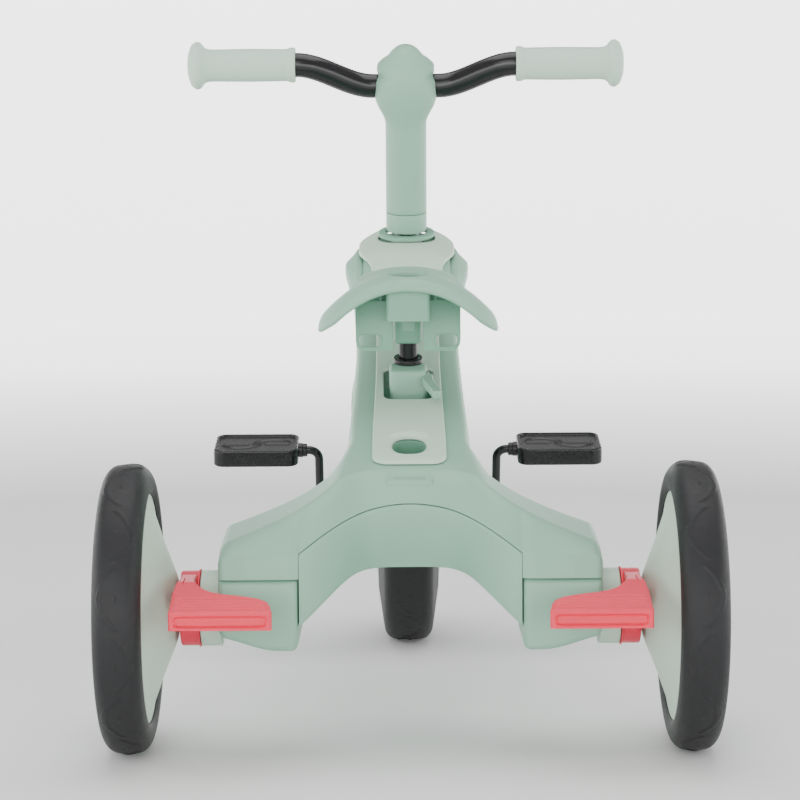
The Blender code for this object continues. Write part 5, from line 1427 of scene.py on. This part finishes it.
@dataclass(frozen=True)
class Column:
    """The stem cover's two halves, its collar, the bar and the grips, in lengths up the steering axis."""

    layout: Layout
    body_half: float = 0.0187
    body_depth: float = 0.0205
    top: float = 0.4512
    bar_r: float = 0.0109
    rise: float = 0.022
    setback: float = 0.012
    grip_span: float = 0.392
    grip_length: float = 0.097

    def halves(self, s: np.ndarray) -> Tuple[np.ndarray, np.ndarray]:
        """Half width and half depth of the cover at heights up the axis.

        Args: s: heights.
        Returns: two arrays.
        """
        stops = [0.290, 0.3740, 0.3790, 0.3827, 0.3870, 0.3915, 0.3960, 0.4012, 0.4060, 0.4115, 0.4190,
                 0.4230,
                 0.4250, 0.4279, 0.4336, 0.4385, 0.4400, 0.4425, 0.4457, 0.4490, 0.4505, 0.4512]
        wide = [0.0187, 0.0187, 0.0187, 0.0190, 0.0205, 0.0229, 0.0254, 0.0274, 0.0283, 0.0283, 0.0274,
                0.0250,
                0.0246, 0.0262, 0.0258, 0.0205, 0.0170, 0.0150, 0.0125, 0.0088, 0.0060, 0.0035]
        deep = [0.0205, 0.0205, 0.0208, 0.0216, 0.0228, 0.0242, 0.0256, 0.0268, 0.0276, 0.0280, 0.0280,
                0.0276,
                0.0274, 0.0268, 0.0252, 0.0226, 0.0212, 0.0196, 0.0168, 0.0122, 0.0086, 0.0055]
        return np.interp(s, stops, wide), np.interp(s, stops, deep)

    def cover(self, front: bool) -> Skin:
        """One half of the stem cover, behind the axis or ahead of it, rounded like a superellipse.

        Args: front: the half ahead.
        Returns: the skin.
        """
        s = np.concatenate([self.layout.column_s + np.array([0.0, 0.0004, 0.0010]),
                            np.linspace(self.layout.column_s + 0.004, 0.372, 30),
                            np.linspace(0.372, self.top, 110)[1:]])
        wide, deep = self.halves(s)
        draw = round_over(s - self.layout.column_s, 0.0010)
        kernel = np.array([0.1, 0.2, 0.4, 0.2, 0.1])
        wide[6:-2] = np.convolve(wide, kernel, mode="same")[6:-2]
        turn = np.linspace(0.0, math.pi, 44)
        c, n = np.cos(turn), np.sin(turn)
        way = 1.0 if front else -1.0
        x = (wide - draw)[:, None] * np.sign(c) * np.abs(c) ** 0.85
        y = way * ((deep - draw)[:, None] * n ** 0.85 + 0.00018)
        return Skin.grid(np.stack([x, y, np.repeat(s[:, None], 44, axis=1)],
                                  axis=-1)).placed(self.layout.head)

    def collar(self) -> Skin:
        """The column's foot below the curved parting line.

        Returns: the skin.
        """
        foot = self.layout.head_top_s + 0.0030
        outline = oval(self.body_half, self.body_depth, 2.35, 88)
        levels = [(foot, 0.0012), (foot + 0.0003, 0.0004), (foot + 0.0012, 0.0),
                  (self.layout.column_s - 0.0015, 0.0),
                  (self.layout.column_s - 0.0006, 0.0003), (self.layout.column_s - 0.0003, 0.0010)]
        return Skin.prism(outline, levels).placed(self.layout.head)

    def bar(self) -> Skin:
        """The bar: straight in the stem, an S on each side, straight in the grips.

        Returns: the skin.
        """
        end, bend_in = 0.5 * self.grip_span - 0.008, 0.0298
        bend_out = 0.5 * self.grip_span - self.grip_length - 0.001
        x = np.concatenate([np.linspace(0.0, bend_in, 4)[:-1], np.linspace(bend_in, bend_out, 44),
                            np.linspace(bend_out, end, 6)[1:]])
        x = both_ways(x)
        step = smooth((np.abs(x) - bend_in) / (bend_out - bend_in))
        path = np.column_stack([x, -self.setback * step, self.layout.bar_s + self.rise * step])
        return Skin.tube(path, self.bar_r, 48).placed(self.layout.head)

    def grip(self) -> Skin:
        """The right grip: an inner bead, a slightly barrelled body and a domed outer flange.

        Returns: the skin.
        """
        start = 0.5 * self.grip_span - self.grip_length
        shape = [(0.0, 0.0112), (0.0, 0.0152), (0.0015, 0.0157), (0.0050, 0.0157), (0.0072, 0.0143),
                 (0.040, 0.0148),
                 (0.0760, 0.0143), (0.0812, 0.0152), (0.0850, 0.0206), (0.0885, 0.0216), (0.0935, 0.0186),
                 (0.0965, 0.0100), (0.0970, 0.0)]
        profile = fillet([(start, 0.0)] + [(start + x, r) for x, r in shape], 0.0030, 6)
        place = self.layout.head @ Matrix.Translation((0.0, -self.setback, self.layout.bar_s + self.rise))
        return Skin.turned(profile, 110, False).placed(place)

    def build(self, maker: Maker) -> None:
        """Make the pieces.

        Args: maker: makes them.
        """
        for front, word in ((False, "rear"), (True, "front")):
            maker.piece("stem cover " + word, self.cover(front), "body_mint", "steering",
                        ("stem_cover_" + word,))
        maker.piece("column collar", self.collar(), "body_mint", "steering", ("column_collar",))
        maker.piece("handlebar", self.bar(), "bar_black", "steering", ("handlebar",))
        for side in Side:
            maker.piece("grip " + side.word, self.grip().sided(side), "grip_mint", "steering",
                        ("grip_" + side.word,))


@dataclass(frozen=True)
class Fork:
    """The moulded fork: one arch over the tyre whose legs taper a little towards the axle."""

    layout: Layout
    inner: float = 0.0405
    width: float = 0.0125
    crown: float = 0.1563
    arch: float = 0.1305
    half_depth: float = 0.0170

    def skin(self) -> Skin:
        """Sections across the arch's middle line, each a round-cornered rectangle.

        Returns: the skin.
        """
        outer = self.inner + self.width
        lift = self.arch - 0.020
        turn = np.linspace(0.0, 0.5 * math.pi, 26)
        straight = np.linspace(-0.0160, lift, 44)
        inside = np.concatenate([np.column_stack([np.full(44, self.inner), straight]),
                                 np.column_stack([self.inner * np.cos(turn) ** 0.62,
                                                  lift + (self.arch - lift) * np.sin(turn)])[1:]])
        outside = np.concatenate([np.column_stack([np.full(44, outer), straight]),
                                  np.column_stack([outer * np.cos(turn) ** 0.62,
                                                   lift + (self.crown - lift) * np.sin(turn)])[1:]])
        inside, outside = [np.vstack([p, p[-2::-1] * [-1.0, 1.0]]) for p in (inside, outside)]
        foot = np.minimum(inside[:, 1], outside[:, 1])
        depth = self.half_depth * np.sqrt(np.clip(1.0 - (np.clip(0.006 - foot, 0.0, 1.0) / 0.0226) ** 2,
                                                  0.02, 1.0))
        corner = closed_fillet([(-1.0, -1.0), (1.0, -1.0), (1.0, 1.0), (-1.0, 1.0)], 0.34, 7)
        across = 0.5 * (1.0 + corner[:, 0])
        place = inside[:, None] + (outside - inside)[:, None] * across[:, None]
        nodes = np.stack([place[..., 0], depth[:, None] * corner[:, 1], place[..., 1]], axis=-1)
        return Skin.grid(nodes).placed(self.layout.head)

    def build(self, maker: Maker) -> None:
        """Make the piece.

        Args: maker: makes it.
        """
        maker.piece("fork", self.skin(), "body_mint", "steering", ("fork",), sharp=45.0)


@dataclass(frozen=True)
class Crank:
    """A bent crank and its pedal, drawn for the right."""

    layout: Layout
    length: float = 0.070
    x: float = 0.0840
    lean: float = math.radians(26.0)
    bend: float = 0.0095
    rod: float = 0.0040
    pedal_in: float = 0.1030
    pedal_length: float = 0.079
    pedal_half: float = 0.030
    pedal_thick: float = 0.0080
    tilt: float = math.radians(10.0)

    @property
    def axis(self) -> Matrix:
        """Matrix of the crank about the front axle.

        Returns: the matrix.
        """
        return self.layout.head @ turn_x(self.lean - self.layout.rake)

    def rod_skin(self) -> Skin:
        """Spindle, throw and pedal spindle with round bends.

        Returns: the skin.
        """
        turn = np.linspace(0.0, 0.5 * math.pi, 14)
        first = np.column_stack([self.x - self.bend + self.bend * np.sin(turn),
                                 self.bend - self.bend * np.cos(turn)])
        last = np.column_stack([self.x + self.bend - self.bend * np.cos(turn),
                                self.length - self.bend + self.bend * np.sin(turn)])
        flat = np.vstack([[0.004, 0.0], [0.04, 0.0], first, [self.x, 0.5 * self.length], last,
                          [self.pedal_in + 0.062, self.length]])
        path = np.column_stack([flat[:, 0], np.zeros(len(flat)), flat[:, 1]])
        return Skin.tube(path, self.rod, 32).placed(self.axis)

    def face(self, x: np.ndarray, y: np.ndarray) -> np.ndarray:
        """Relief of a tread face: a rim, a sunk floor, two bowed ribs and a straight one.

        Args: x, y: places from the pedal's middle.
        Returns: heights.
        """
        half = 0.5 * self.pedal_length
        rim = np.minimum(half - np.abs(x), self.pedal_half - np.abs(y))
        corner = np.hypot(np.maximum(np.abs(x) - half + 0.012, 0.0),
                          np.maximum(np.abs(y) - self.pedal_half + 0.012, 0.0))
        rim = np.minimum(rim, 0.012 - corner)
        floor = -0.0019 * smooth((rim - 0.0035) / 0.0009)
        bow = y - (0.0135 - 30.0 * (x + 0.016) ** 2)
        ribs = np.exp(-(bow / 0.0016) ** 2) * smooth((0.006 - x) / 0.003) * smooth((x + 0.034) / 0.003)
        bow = y + (0.0135 - 30.0 * (x - 0.016) ** 2)
        ribs = np.maximum(ribs, np.exp(-(bow / 0.0016) ** 2) * smooth((x + 0.006) / 0.003)
                          * smooth((0.034 - x) / 0.003))
        line = np.exp(-(y / 0.0012) ** 2) * smooth((0.032 - np.abs(x)) / 0.002) * smooth((np.abs(x) - 0.006)
                                                                                         / 0.002)
        return floor + 0.0014 * np.maximum(ribs, line) * smooth((rim - 0.0045) / 0.001)

    def pedal(self) -> Skin:
        """The pedal block: both faces in relief over a round-cornered plan, with its neck.

        Returns: the skin.
        """
        half, corner = 0.5 * self.pedal_length, 0.0100
        u = both_ways(edge_stations(half, 0.0022, 0.00065))
        v = both_ways(edge_stations(self.pedal_half, 0.0022, 0.00065))
        x, y = np.meshgrid(u, v, indexing="ij")
        over_x = np.maximum(np.abs(x) - half + corner, 0.0)
        over_y = np.maximum(np.abs(y) - self.pedal_half + corner, 0.0)
        far = np.hypot(over_x, over_y)
        square = np.maximum(over_x, over_y)
        pull = np.where(far > 1e-9, square / np.maximum(far, 1e-9), 1.0)
        px = np.where(over_x > 0, np.sign(x) * (half - corner + over_x * pull), x)
        py = np.where(over_y > 0, np.sign(y) * (self.pedal_half - corner + over_y * pull), y)
        inset = np.maximum(corner - np.hypot(np.maximum(np.abs(px) - half + corner, 0.0),
                                             np.maximum(np.abs(py) - self.pedal_half + corner, 0.0)), 0.0)
        inset = np.where((over_x > 0) | (over_y > 0), inset, corner)
        level = self.pedal_thick - round_over(inset, 0.0020) + self.face(px, py)
        middle = self.pedal_in + half
        high = np.stack([px + middle, py, level], axis=-1)
        low = np.stack([px + middle, py, -level], axis=-1)
        neck = fillet([(self.pedal_in - 0.0082, 0.0), (self.pedal_in - 0.0082, 0.0062),
                       (self.pedal_in - 0.0040, 0.0062),
                       (self.pedal_in - 0.0038, 0.0068), (self.pedal_in + 0.004, 0.0068),
                       (self.pedal_in + 0.004, 0.0)],
                      0.0008, 4)
        block = shell(high, low) + Skin.turned(neck, 56, False)
        return block.placed(self.axis @ Matrix.Translation((0.0, 0.0, self.length))
                            @ turn_x(self.tilt - self.lean))

    def build(self, maker: Maker) -> None:
        """Make the pieces.

        Args: maker: makes them.
        """
        for side in Side:
            maker.piece("crank " + side.word, self.rod_skin().sided(side), "bar_black",
                        "crank_arm_" + side.word,
                        ("crank_" + side.word,))
            maker.piece("pedal " + side.word, self.pedal().sided(side), "pedal_black",
                        "pedal_block_" + side.word,
                        ("pedal_" + side.word,), sharp=45.0)


# ---------------------------------------------------------------- seat

@dataclass(frozen=True)
class Saddle:
    """The drooping saddle with its round hole."""

    layout: Layout
    rise: float = 0.095
    width: float = 0.146
    length: float = 0.205
    thick: float = 0.010
    droop: float = 0.042
    rear: float = -0.087
    hole_r: float = 0.0150

    def height(self, x: np.ndarray, share: np.ndarray) -> np.ndarray:
        """Top over the post's foot: a lip at the rear, a dip, a falling nose, and sides drooping as |x|^2.2.

        Args: x: across; share: 0 at the rear edge, 1 at the nose.
        Returns: heights.
        """
        lip = 0.008 * np.clip(1.0 - share / 0.16, 0.0, 1.0) ** 2
        dip = 0.006 * np.sin(math.pi * np.clip((share - 0.16) / 0.6, 0.0, 1.0)) ** 2
        nose = 0.012 * np.clip((share - 0.72) / 0.28, 0.0, 1.0) ** 2
        return self.rise - lip - dip - nose - self.droop * (1.0 - 0.45 * share) * (2.0 * np.abs(x)
                                                                                   / self.width) ** 2.2

    def half(self, share: np.ndarray) -> np.ndarray:
        """Half width: full behind the middle, narrow at the nose, round at both ends.

        Args: share: along.
        Returns: half widths.
        """
        rear = 0.22 * np.clip(1.0 - share / 0.10, 0.0, 1.0) ** 2
        nose = 0.34 * np.clip((share - 0.88) / 0.12, 0.0, 1.0) ** 2
        return 0.5 * self.width * (1.0 - 0.46 * smooth((share - 0.22) / 0.6) - rear - nose)

    def skin(self) -> Skin:
        """The saddle: rings across it with fully round rims.

        Returns: the skin.
        """
        end = 0.5 * (1.0 - np.cos(np.linspace(0.0, math.pi, 30)))[:15] * 0.09
        share = np.concatenate([end, np.linspace(0.045, 0.955, 80), 1.0 - end[::-1]])
        share = np.unique(np.round(share, 6))
        turn = np.linspace(0.0, 2.0 * math.pi, 150, endpoint=False)
        c, n = np.cos(turn), np.sin(turn)
        across = np.sign(c) * (1.0 - (1.0 - np.abs(c)) ** 1.25)
        near_end = np.minimum(share, 1.0 - share) * self.length
        full = 0.5 * self.thick * np.sqrt(1.0 - (1.0 - np.clip(near_end / 0.0050, 0.0, 1.0)) ** 2)
        x = self.half(share)[:, None] * across
        rim = np.sqrt(1.0 - np.clip((np.abs(x) - self.half(share)[:, None] + 0.0050) / 0.0050, 0.0, 1.0) ** 2)
        middle = self.height(x, share[:, None]) - 0.5 * self.thick
        z = middle + np.sign(n) * np.maximum(full[:, None], 0.0002) * np.where(np.abs(n) < 1e-9, 0.0, rim)
        y = np.repeat((self.rear + self.length * share)[:, None], len(turn), axis=1)
        return Skin.grid(np.stack([x, y, z], axis=-1)).placed(self.layout.seat)

    def hole(self) -> Skin:
        """The cutter of the hole, flared into a soft lip at the top.

        Returns: the skin.
        """
        turn = np.linspace(0.0, 1.0, 7)
        levels = [(-0.05, 0.0)] + [(-0.0078 + 0.0055 * t, -0.0022 * (1.0 - math.sqrt(1.0 - t * t)))
                                   for t in turn]
        levels += [(0.03, -0.0022)]
        outline = oval(self.hole_r, self.hole_r, 2.0, 80)
        place = self.layout.seat @ Matrix.Translation((0.0, self.rear + 0.026,
                                                       self.rise)) @ turn_x(math.radians(8.0))
        return Skin.prism(outline, levels).placed(place)

    def build(self, maker: Maker) -> None:
        """Make the piece.

        Args: maker: makes it.
        """
        maker.piece("saddle", self.skin(), "body_mint", "seat", ("saddle",), cuts=(self.hole(),), sharp=45.0)


@dataclass(frozen=True)
class Bracket:
    """The bracket under the saddle: a plate with two rimmed slots, and the socket in its middle."""

    saddle: Saddle
    plate_half: float = 0.0430
    low: float = 0.029
    bay: float = 0.0125
    socket: float = 0.0150
    wall: float = 0.0026

    def build(self, maker: Maker) -> None:
        """Make the piece.

        Args: maker: makes it.
        """
        layout = self.saddle.layout
        hole_y = self.saddle.rear + 0.026
        plate_y = hole_y + self.socket + 0.0045
        share = (plate_y - self.saddle.rear) / self.saddle.length
        ledge = self.saddle.rise - self.saddle.thick - 0.0290
        roof = [(x, float(self.saddle.height(np.array(x), np.array(share))) - self.saddle.thick - 0.0016)
                for x in np.linspace(self.plate_half, 0.0, 14)]
        lower = fillet([(self.bay, self.low + 0.004), (self.bay, self.low), (self.plate_half, self.low),
                        (self.plate_half, roof[0][1])], 0.0095, 9)
        right = [tuple(p) for p in lower] + roof
        loop = np.array(right + [(-x, z) for x, z in right[-2::-1]] + [(-self.bay, ledge), (self.bay, ledge)])
        levels = [(plate_y - 0.0020, 0.0006), (plate_y - 0.0016, 0.0), (plate_y + 0.0016, 0.0),
                  (plate_y + 0.0020, 0.0006)]
        plate = Skin.prism(loop, levels).reordered((0, 2, 1))
        half = self.socket + self.wall
        high = float(self.saddle.height(np.array(0.0), np.array(0.08))) - self.saddle.thick - 0.0015
        square = [(-1.0, -1.0), (1.0, -1.0), (1.0, 1.0), (-1.0, 1.0)]
        outer = closed_fillet([(a * half, b * half + hole_y) for a, b in square], 0.004, 6)
        inner = closed_fillet([(a * self.socket, b * self.socket + hole_y) for a, b in square], 0.003, 6)
        rings = [np.column_stack([o, np.full(len(o), z)]) for o, z in
                 ((inner, ledge - 0.001), (outer, ledge - 0.001), (outer, high), (inner, high),
                  (inner, ledge - 0.001))]
        tube = Skin.grid(np.array(rings), True, False)
        cuts, rims = [], []
        for way in (-1.0, 1.0):
            slot = closed_fillet([(way * (self.plate_half - 0.0115) + a * 0.0088,
                                   self.low + 0.0085 + b * 0.0050)
                                  for a, b in square], 0.0045, 8)
            cuts.append(Skin.prism(slot, [(plate_y - 0.02, 0.0),
                                          (plate_y + 0.02, 0.0)]).reordered((0, 2, 1)).placed(layout.seat))
            path = np.column_stack([slot[:, 0], np.full(len(slot), plate_y - 0.0022), slot[:, 1]])
            centre = path.mean(axis=0)
            section = [(1.09, 0.0006), (1.09, -0.0008), (1.0, -0.0010), (1.0, 0.0006), (1.09, 0.0006)]
            rims.append(Skin.grid(np.array([centre + (path - centre) * grow + [0.0, step, 0.0] for grow,
                                            step in section]),
                                  True, False))
        fins = []
        for way in (-1.0, 1.0):
            fin = [(way * 0.0215, 0.0), (way * 0.0233, 0.0), (way * 0.0233, 0.0030), (way * 0.0215, 0.0030)]
            top = float(self.saddle.height(np.array(0.0225), np.array(0.10))) - self.saddle.thick - 0.0010
            fins.append(Skin.prism(np.array(fin) + [0.0, plate_y - 0.0048],
                                   [(top - 0.0095, 0.0004), (top - 0.009, 0.0),
                                                                            (top, 0.0)]))
        maker.piece("seat bracket", plate.placed(layout.seat), "deep_mint", "seat", ("seat_bracket",),
                    cuts=cuts)
        extra = tube
        for skin in rims + fins:
            extra = extra + skin
        maker.piece("backrest socket", extra.placed(layout.seat), "deep_mint", "seat")
        head = closed_fillet([(a * 0.0113, b * 0.0150) for a, b in square], 0.005, 8)
        block = Skin.prism(head, [(0.0380, 0.0026), (0.0388, 0.0010), (0.0400, 0.0), (0.0752, 0.0),
                                  (0.0760, 0.0008)])
        maker.piece("post head", block.placed(layout.post), "deep_mint", "seat", ("post_head",))
        badge = closed_fillet([(-0.0052, 0.0500), (0.0052, 0.0500), (0.0066, 0.0700), (-0.0066, 0.0700)],
                              0.0016, 5)
        pad = Skin.prism(badge, [(0.0142, 0.0), (0.0155, 0.0), (0.0158, 0.0004)])
        pad = Skin(np.column_stack([pad.points[:, 0], -pad.points[:, 2], pad.points[:, 1]]), pad.faces)
        maker.piece("post head pad", pad.placed(layout.post), "body_mint", "seat")
        post = Skin.tube(np.array([(0.0, 0.0, -0.058), (0.0, 0.0, 0.0), (0.0, 0.0, 0.068)]), 0.0076, 64)
        maker.piece("seat post", post.placed(layout.post), "bar_black", "seat", ("seat_post",))


@dataclass(frozen=True)
class Clamp:
    """Collar, shim and quick-release lever where the post enters the deck."""

    layout: Layout

    def build(self, maker: Maker) -> None:
        """Make the pieces.

        Args: maker: makes them.
        """
        place = self.layout.post
        turn = np.linspace(0.0, math.pi, 41)
        bow = 0.0157 * np.column_stack([np.cos(turn), np.sin(turn)])
        back = closed_fillet([(-0.0157, 0.0), (-0.0157, -0.0262), (0.0157, -0.0262), (0.0157, 0.0)], 0.0085,
                             9)
        outline = np.vstack([bow, back[back[:, 1] < -0.0005]])
        collar = Skin.prism(outline, [(-0.0080, 0.0), (0.0150, 0.0), (0.0164, 0.0004), (0.0176, 0.0012),
                                      (0.0182, 0.0024)])
        bore = upright(Skin.turned(np.array([(-0.02, 0.0), (-0.02, 0.0125), (0.03, 0.0125), (0.03, 0.0)]),
                                   96, False))
        maker.piece("seat clamp", collar.placed(place), "body_mint", "frame", ("seat_clamp",),
                    cuts=(bore.placed(place),))
        shim = fillet([(-0.020, 0.0079), (-0.020, 0.0123), (0.0220, 0.0123), (0.0225, 0.0110),
                       (0.0218, 0.0079)],
                      0.0008, 4)
        maker.piece("post shim", upright(Skin.turned(shim, 110)).placed(place), "pedal_black", "frame",
                    ("post_shim",))
        along = np.array([0.0052, 0.0035, 0.0, -0.006, -0.012, -0.018, -0.024, -0.030, -0.036, -0.040,
                          -0.0425, -0.0435])
        middle = np.interp(-along, [-0.0052, 0.0, 0.010, 0.022, 0.033, 0.040, 0.0435],
                           [-0.0002, 0.0, 0.0003, 0.0025, 0.0060, 0.0075, 0.0072])
        half = np.interp(-along, [-0.0052, -0.002, 0.0, 0.010, 0.022, 0.033, 0.039, 0.0425, 0.0435],
                         [0.0010, 0.0040, 0.0048, 0.0046, 0.0040, 0.0040, 0.0044, 0.0030, 0.0012])
        corner = closed_fillet([(-1.0, -1.0), (1.0, -1.0), (1.0, 1.0), (-1.0, 1.0)], 0.45, 7)
        rings = np.stack([middle[:, None] + half[:, None] * corner[:, 0],
                          np.repeat(along[:, None], len(corner), axis=1),
                          0.0035 * np.minimum(1.0, half / 0.0030)[:, None] * corner[:, 1]], axis=-1)
        lever = place @ Matrix.Translation((0.0157, -0.0212, 0.0110))
        maker.piece("release lever", Skin.grid(rings).placed(lever), "body_mint", "seat_lever",
                    ("release_lever",))


# ---------------------------------------------------------------- stage

class Studio:
    """Floor, light and camera."""

    def __init__(self, layout: Layout) -> None:
        """Args: layout: main axes."""
        self.layout = layout

    def floor(self) -> None:
        """A pale sweep: flat under the object, curving up far behind and around."""
        reach = np.concatenate([[0.0], np.linspace(0.3, 6.0, 30),
                                6.0 + 2.0 * np.sin(np.linspace(0.1, 0.5 * math.pi, 12))])
        level = np.concatenate([np.zeros(31), 2.0 * (1.0 - np.cos(np.linspace(0.1, 0.5 * math.pi, 12)))])
        angle = np.linspace(0.0, 2.0 * math.pi, 96, endpoint=False)
        nodes = np.stack([reach[:, None] * np.cos(angle), reach[:, None] * np.sin(angle),
                          np.repeat(level[:, None], 96, axis=1)], axis=-1)
        mesh = Skin.grid(nodes, True, False).mesh("floor")
        mesh.shade_smooth()
        made = bpy.data.objects.new("floor", mesh)
        bpy.context.scene.collection.objects.link(made)
        material = bpy.data.materials.new("floor")
        material.use_nodes = True
        shader = material.node_tree.nodes["Principled BSDF"]
        shader.inputs["Base Color"].default_value = linear("#F4F5F4")
        shader.inputs["Roughness"].default_value = 0.9
        shader.inputs["Emission Color"].default_value = (1.0, 1.0, 1.0, 1.0)
        tree = material.node_tree
        place = add_node(tree, "ShaderNodeTexCoord").outputs["Object"]
        far = add_node(tree, "ShaderNodeVectorMath", {"operation": "LENGTH"}, {0: place})
        ramp = add_node(tree, "ShaderNodeMapRange", {"From Min": 1.4, "From Max": 4.0, "To Min": 0.0,
                                                     "To Max": 2.4}, {"Value": far.outputs["Value"]})
        tree.links.new(ramp.outputs["Result"], shader.inputs["Emission Strength"])
        mesh.materials.append(material)

    def lamp(self, name: str, place: Tuple[float, float, float], size: float, power: float,
             aim: Tuple[float, float, float] = (0.0, 0.0, 0.25)) -> None:
        """A soft square light.

        Args: name; place: metres; size: side; power: watts; aim: point it faces.
        """
        light = bpy.data.lights.new(name, "AREA")
        light.shape = "SQUARE"
        light.size = size
        light.energy = power
        made = bpy.data.objects.new(name, light)
        bpy.context.scene.collection.objects.link(made)
        way = np.array(aim) - np.array(place)
        made.location = place
        made.rotation_euler = Vector(way).to_track_quat("-Z", "Y").to_euler()

    def light(self) -> None:
        """A broad overhead light, a fill behind the camera and one at each side, in a pale room."""
        world = bpy.data.worlds.new("room")
        bpy.context.scene.world = world
        world.use_nodes = True
        back = world.node_tree.nodes["Background"]
        back.inputs["Color"].default_value = (1.0, 1.0, 1.0, 1.0)
        back.inputs["Strength"].default_value = 0.58
        self.lamp("overhead", (0.0, 0.1, 2.6), 2.2, 36.0)
        self.lamp("fill", (-0.7, -3.0, 1.5), 1.8, 24.0)
        self.lamp("side_left", (-2.4, -0.4, 1.3), 1.2, 11.0)
        self.lamp("side_right", (2.4, 0.2, 1.5), 1.2, 10.0)

    def camera(self) -> None:
        """A camera nearly two metres behind the rear axle, looking a little down."""
        data = bpy.data.cameras.new("camera")
        data.lens = LENS_MM
        data.sensor_width = 36.0
        made = bpy.data.objects.new("camera", data)
        bpy.context.scene.collection.objects.link(made)
        made.location = (-0.0070, -2.1301, 0.4308)
        tilt = Matrix.Rotation(math.radians(90.0 - DOWN_DEGREES), 3, "X")
        made.rotation_euler = (tilt @ Matrix.Rotation(math.radians(-ROLL_DEGREES), 3, "Z")).to_euler()
        bpy.context.scene.camera = made

    def build(self) -> None:
        """Make everything round the object."""
        self.floor()
        self.light()
        self.camera()


LENS_MM = 111.56
DOWN_DEGREES = 4.864
ROLL_DEGREES = 0.373


def main() -> None:
    """Build every piece, then the studio."""
    logging.basicConfig(level=logging.INFO, format="%(message)s")
    layout, surface = Layout(), FrameSurface()
    maker = Maker(Palette(FINISHES))
    maker.palette.paint_cad(frame["nodes"])
    saddle = Saddle(layout)
    parts = [FrameShells(layout, surface), Deck(layout, surface), Neck(layout, surface), RearWheels(layout),
             FrontWheel(layout), Brake(layout), Column(layout), Fork(layout), Crank(layout), saddle,
             Bracket(saddle), Clamp(layout)]
    for part in parts:
        part.build(maker)
    Studio(layout).build()


if __name__ == "__main__":
    main()
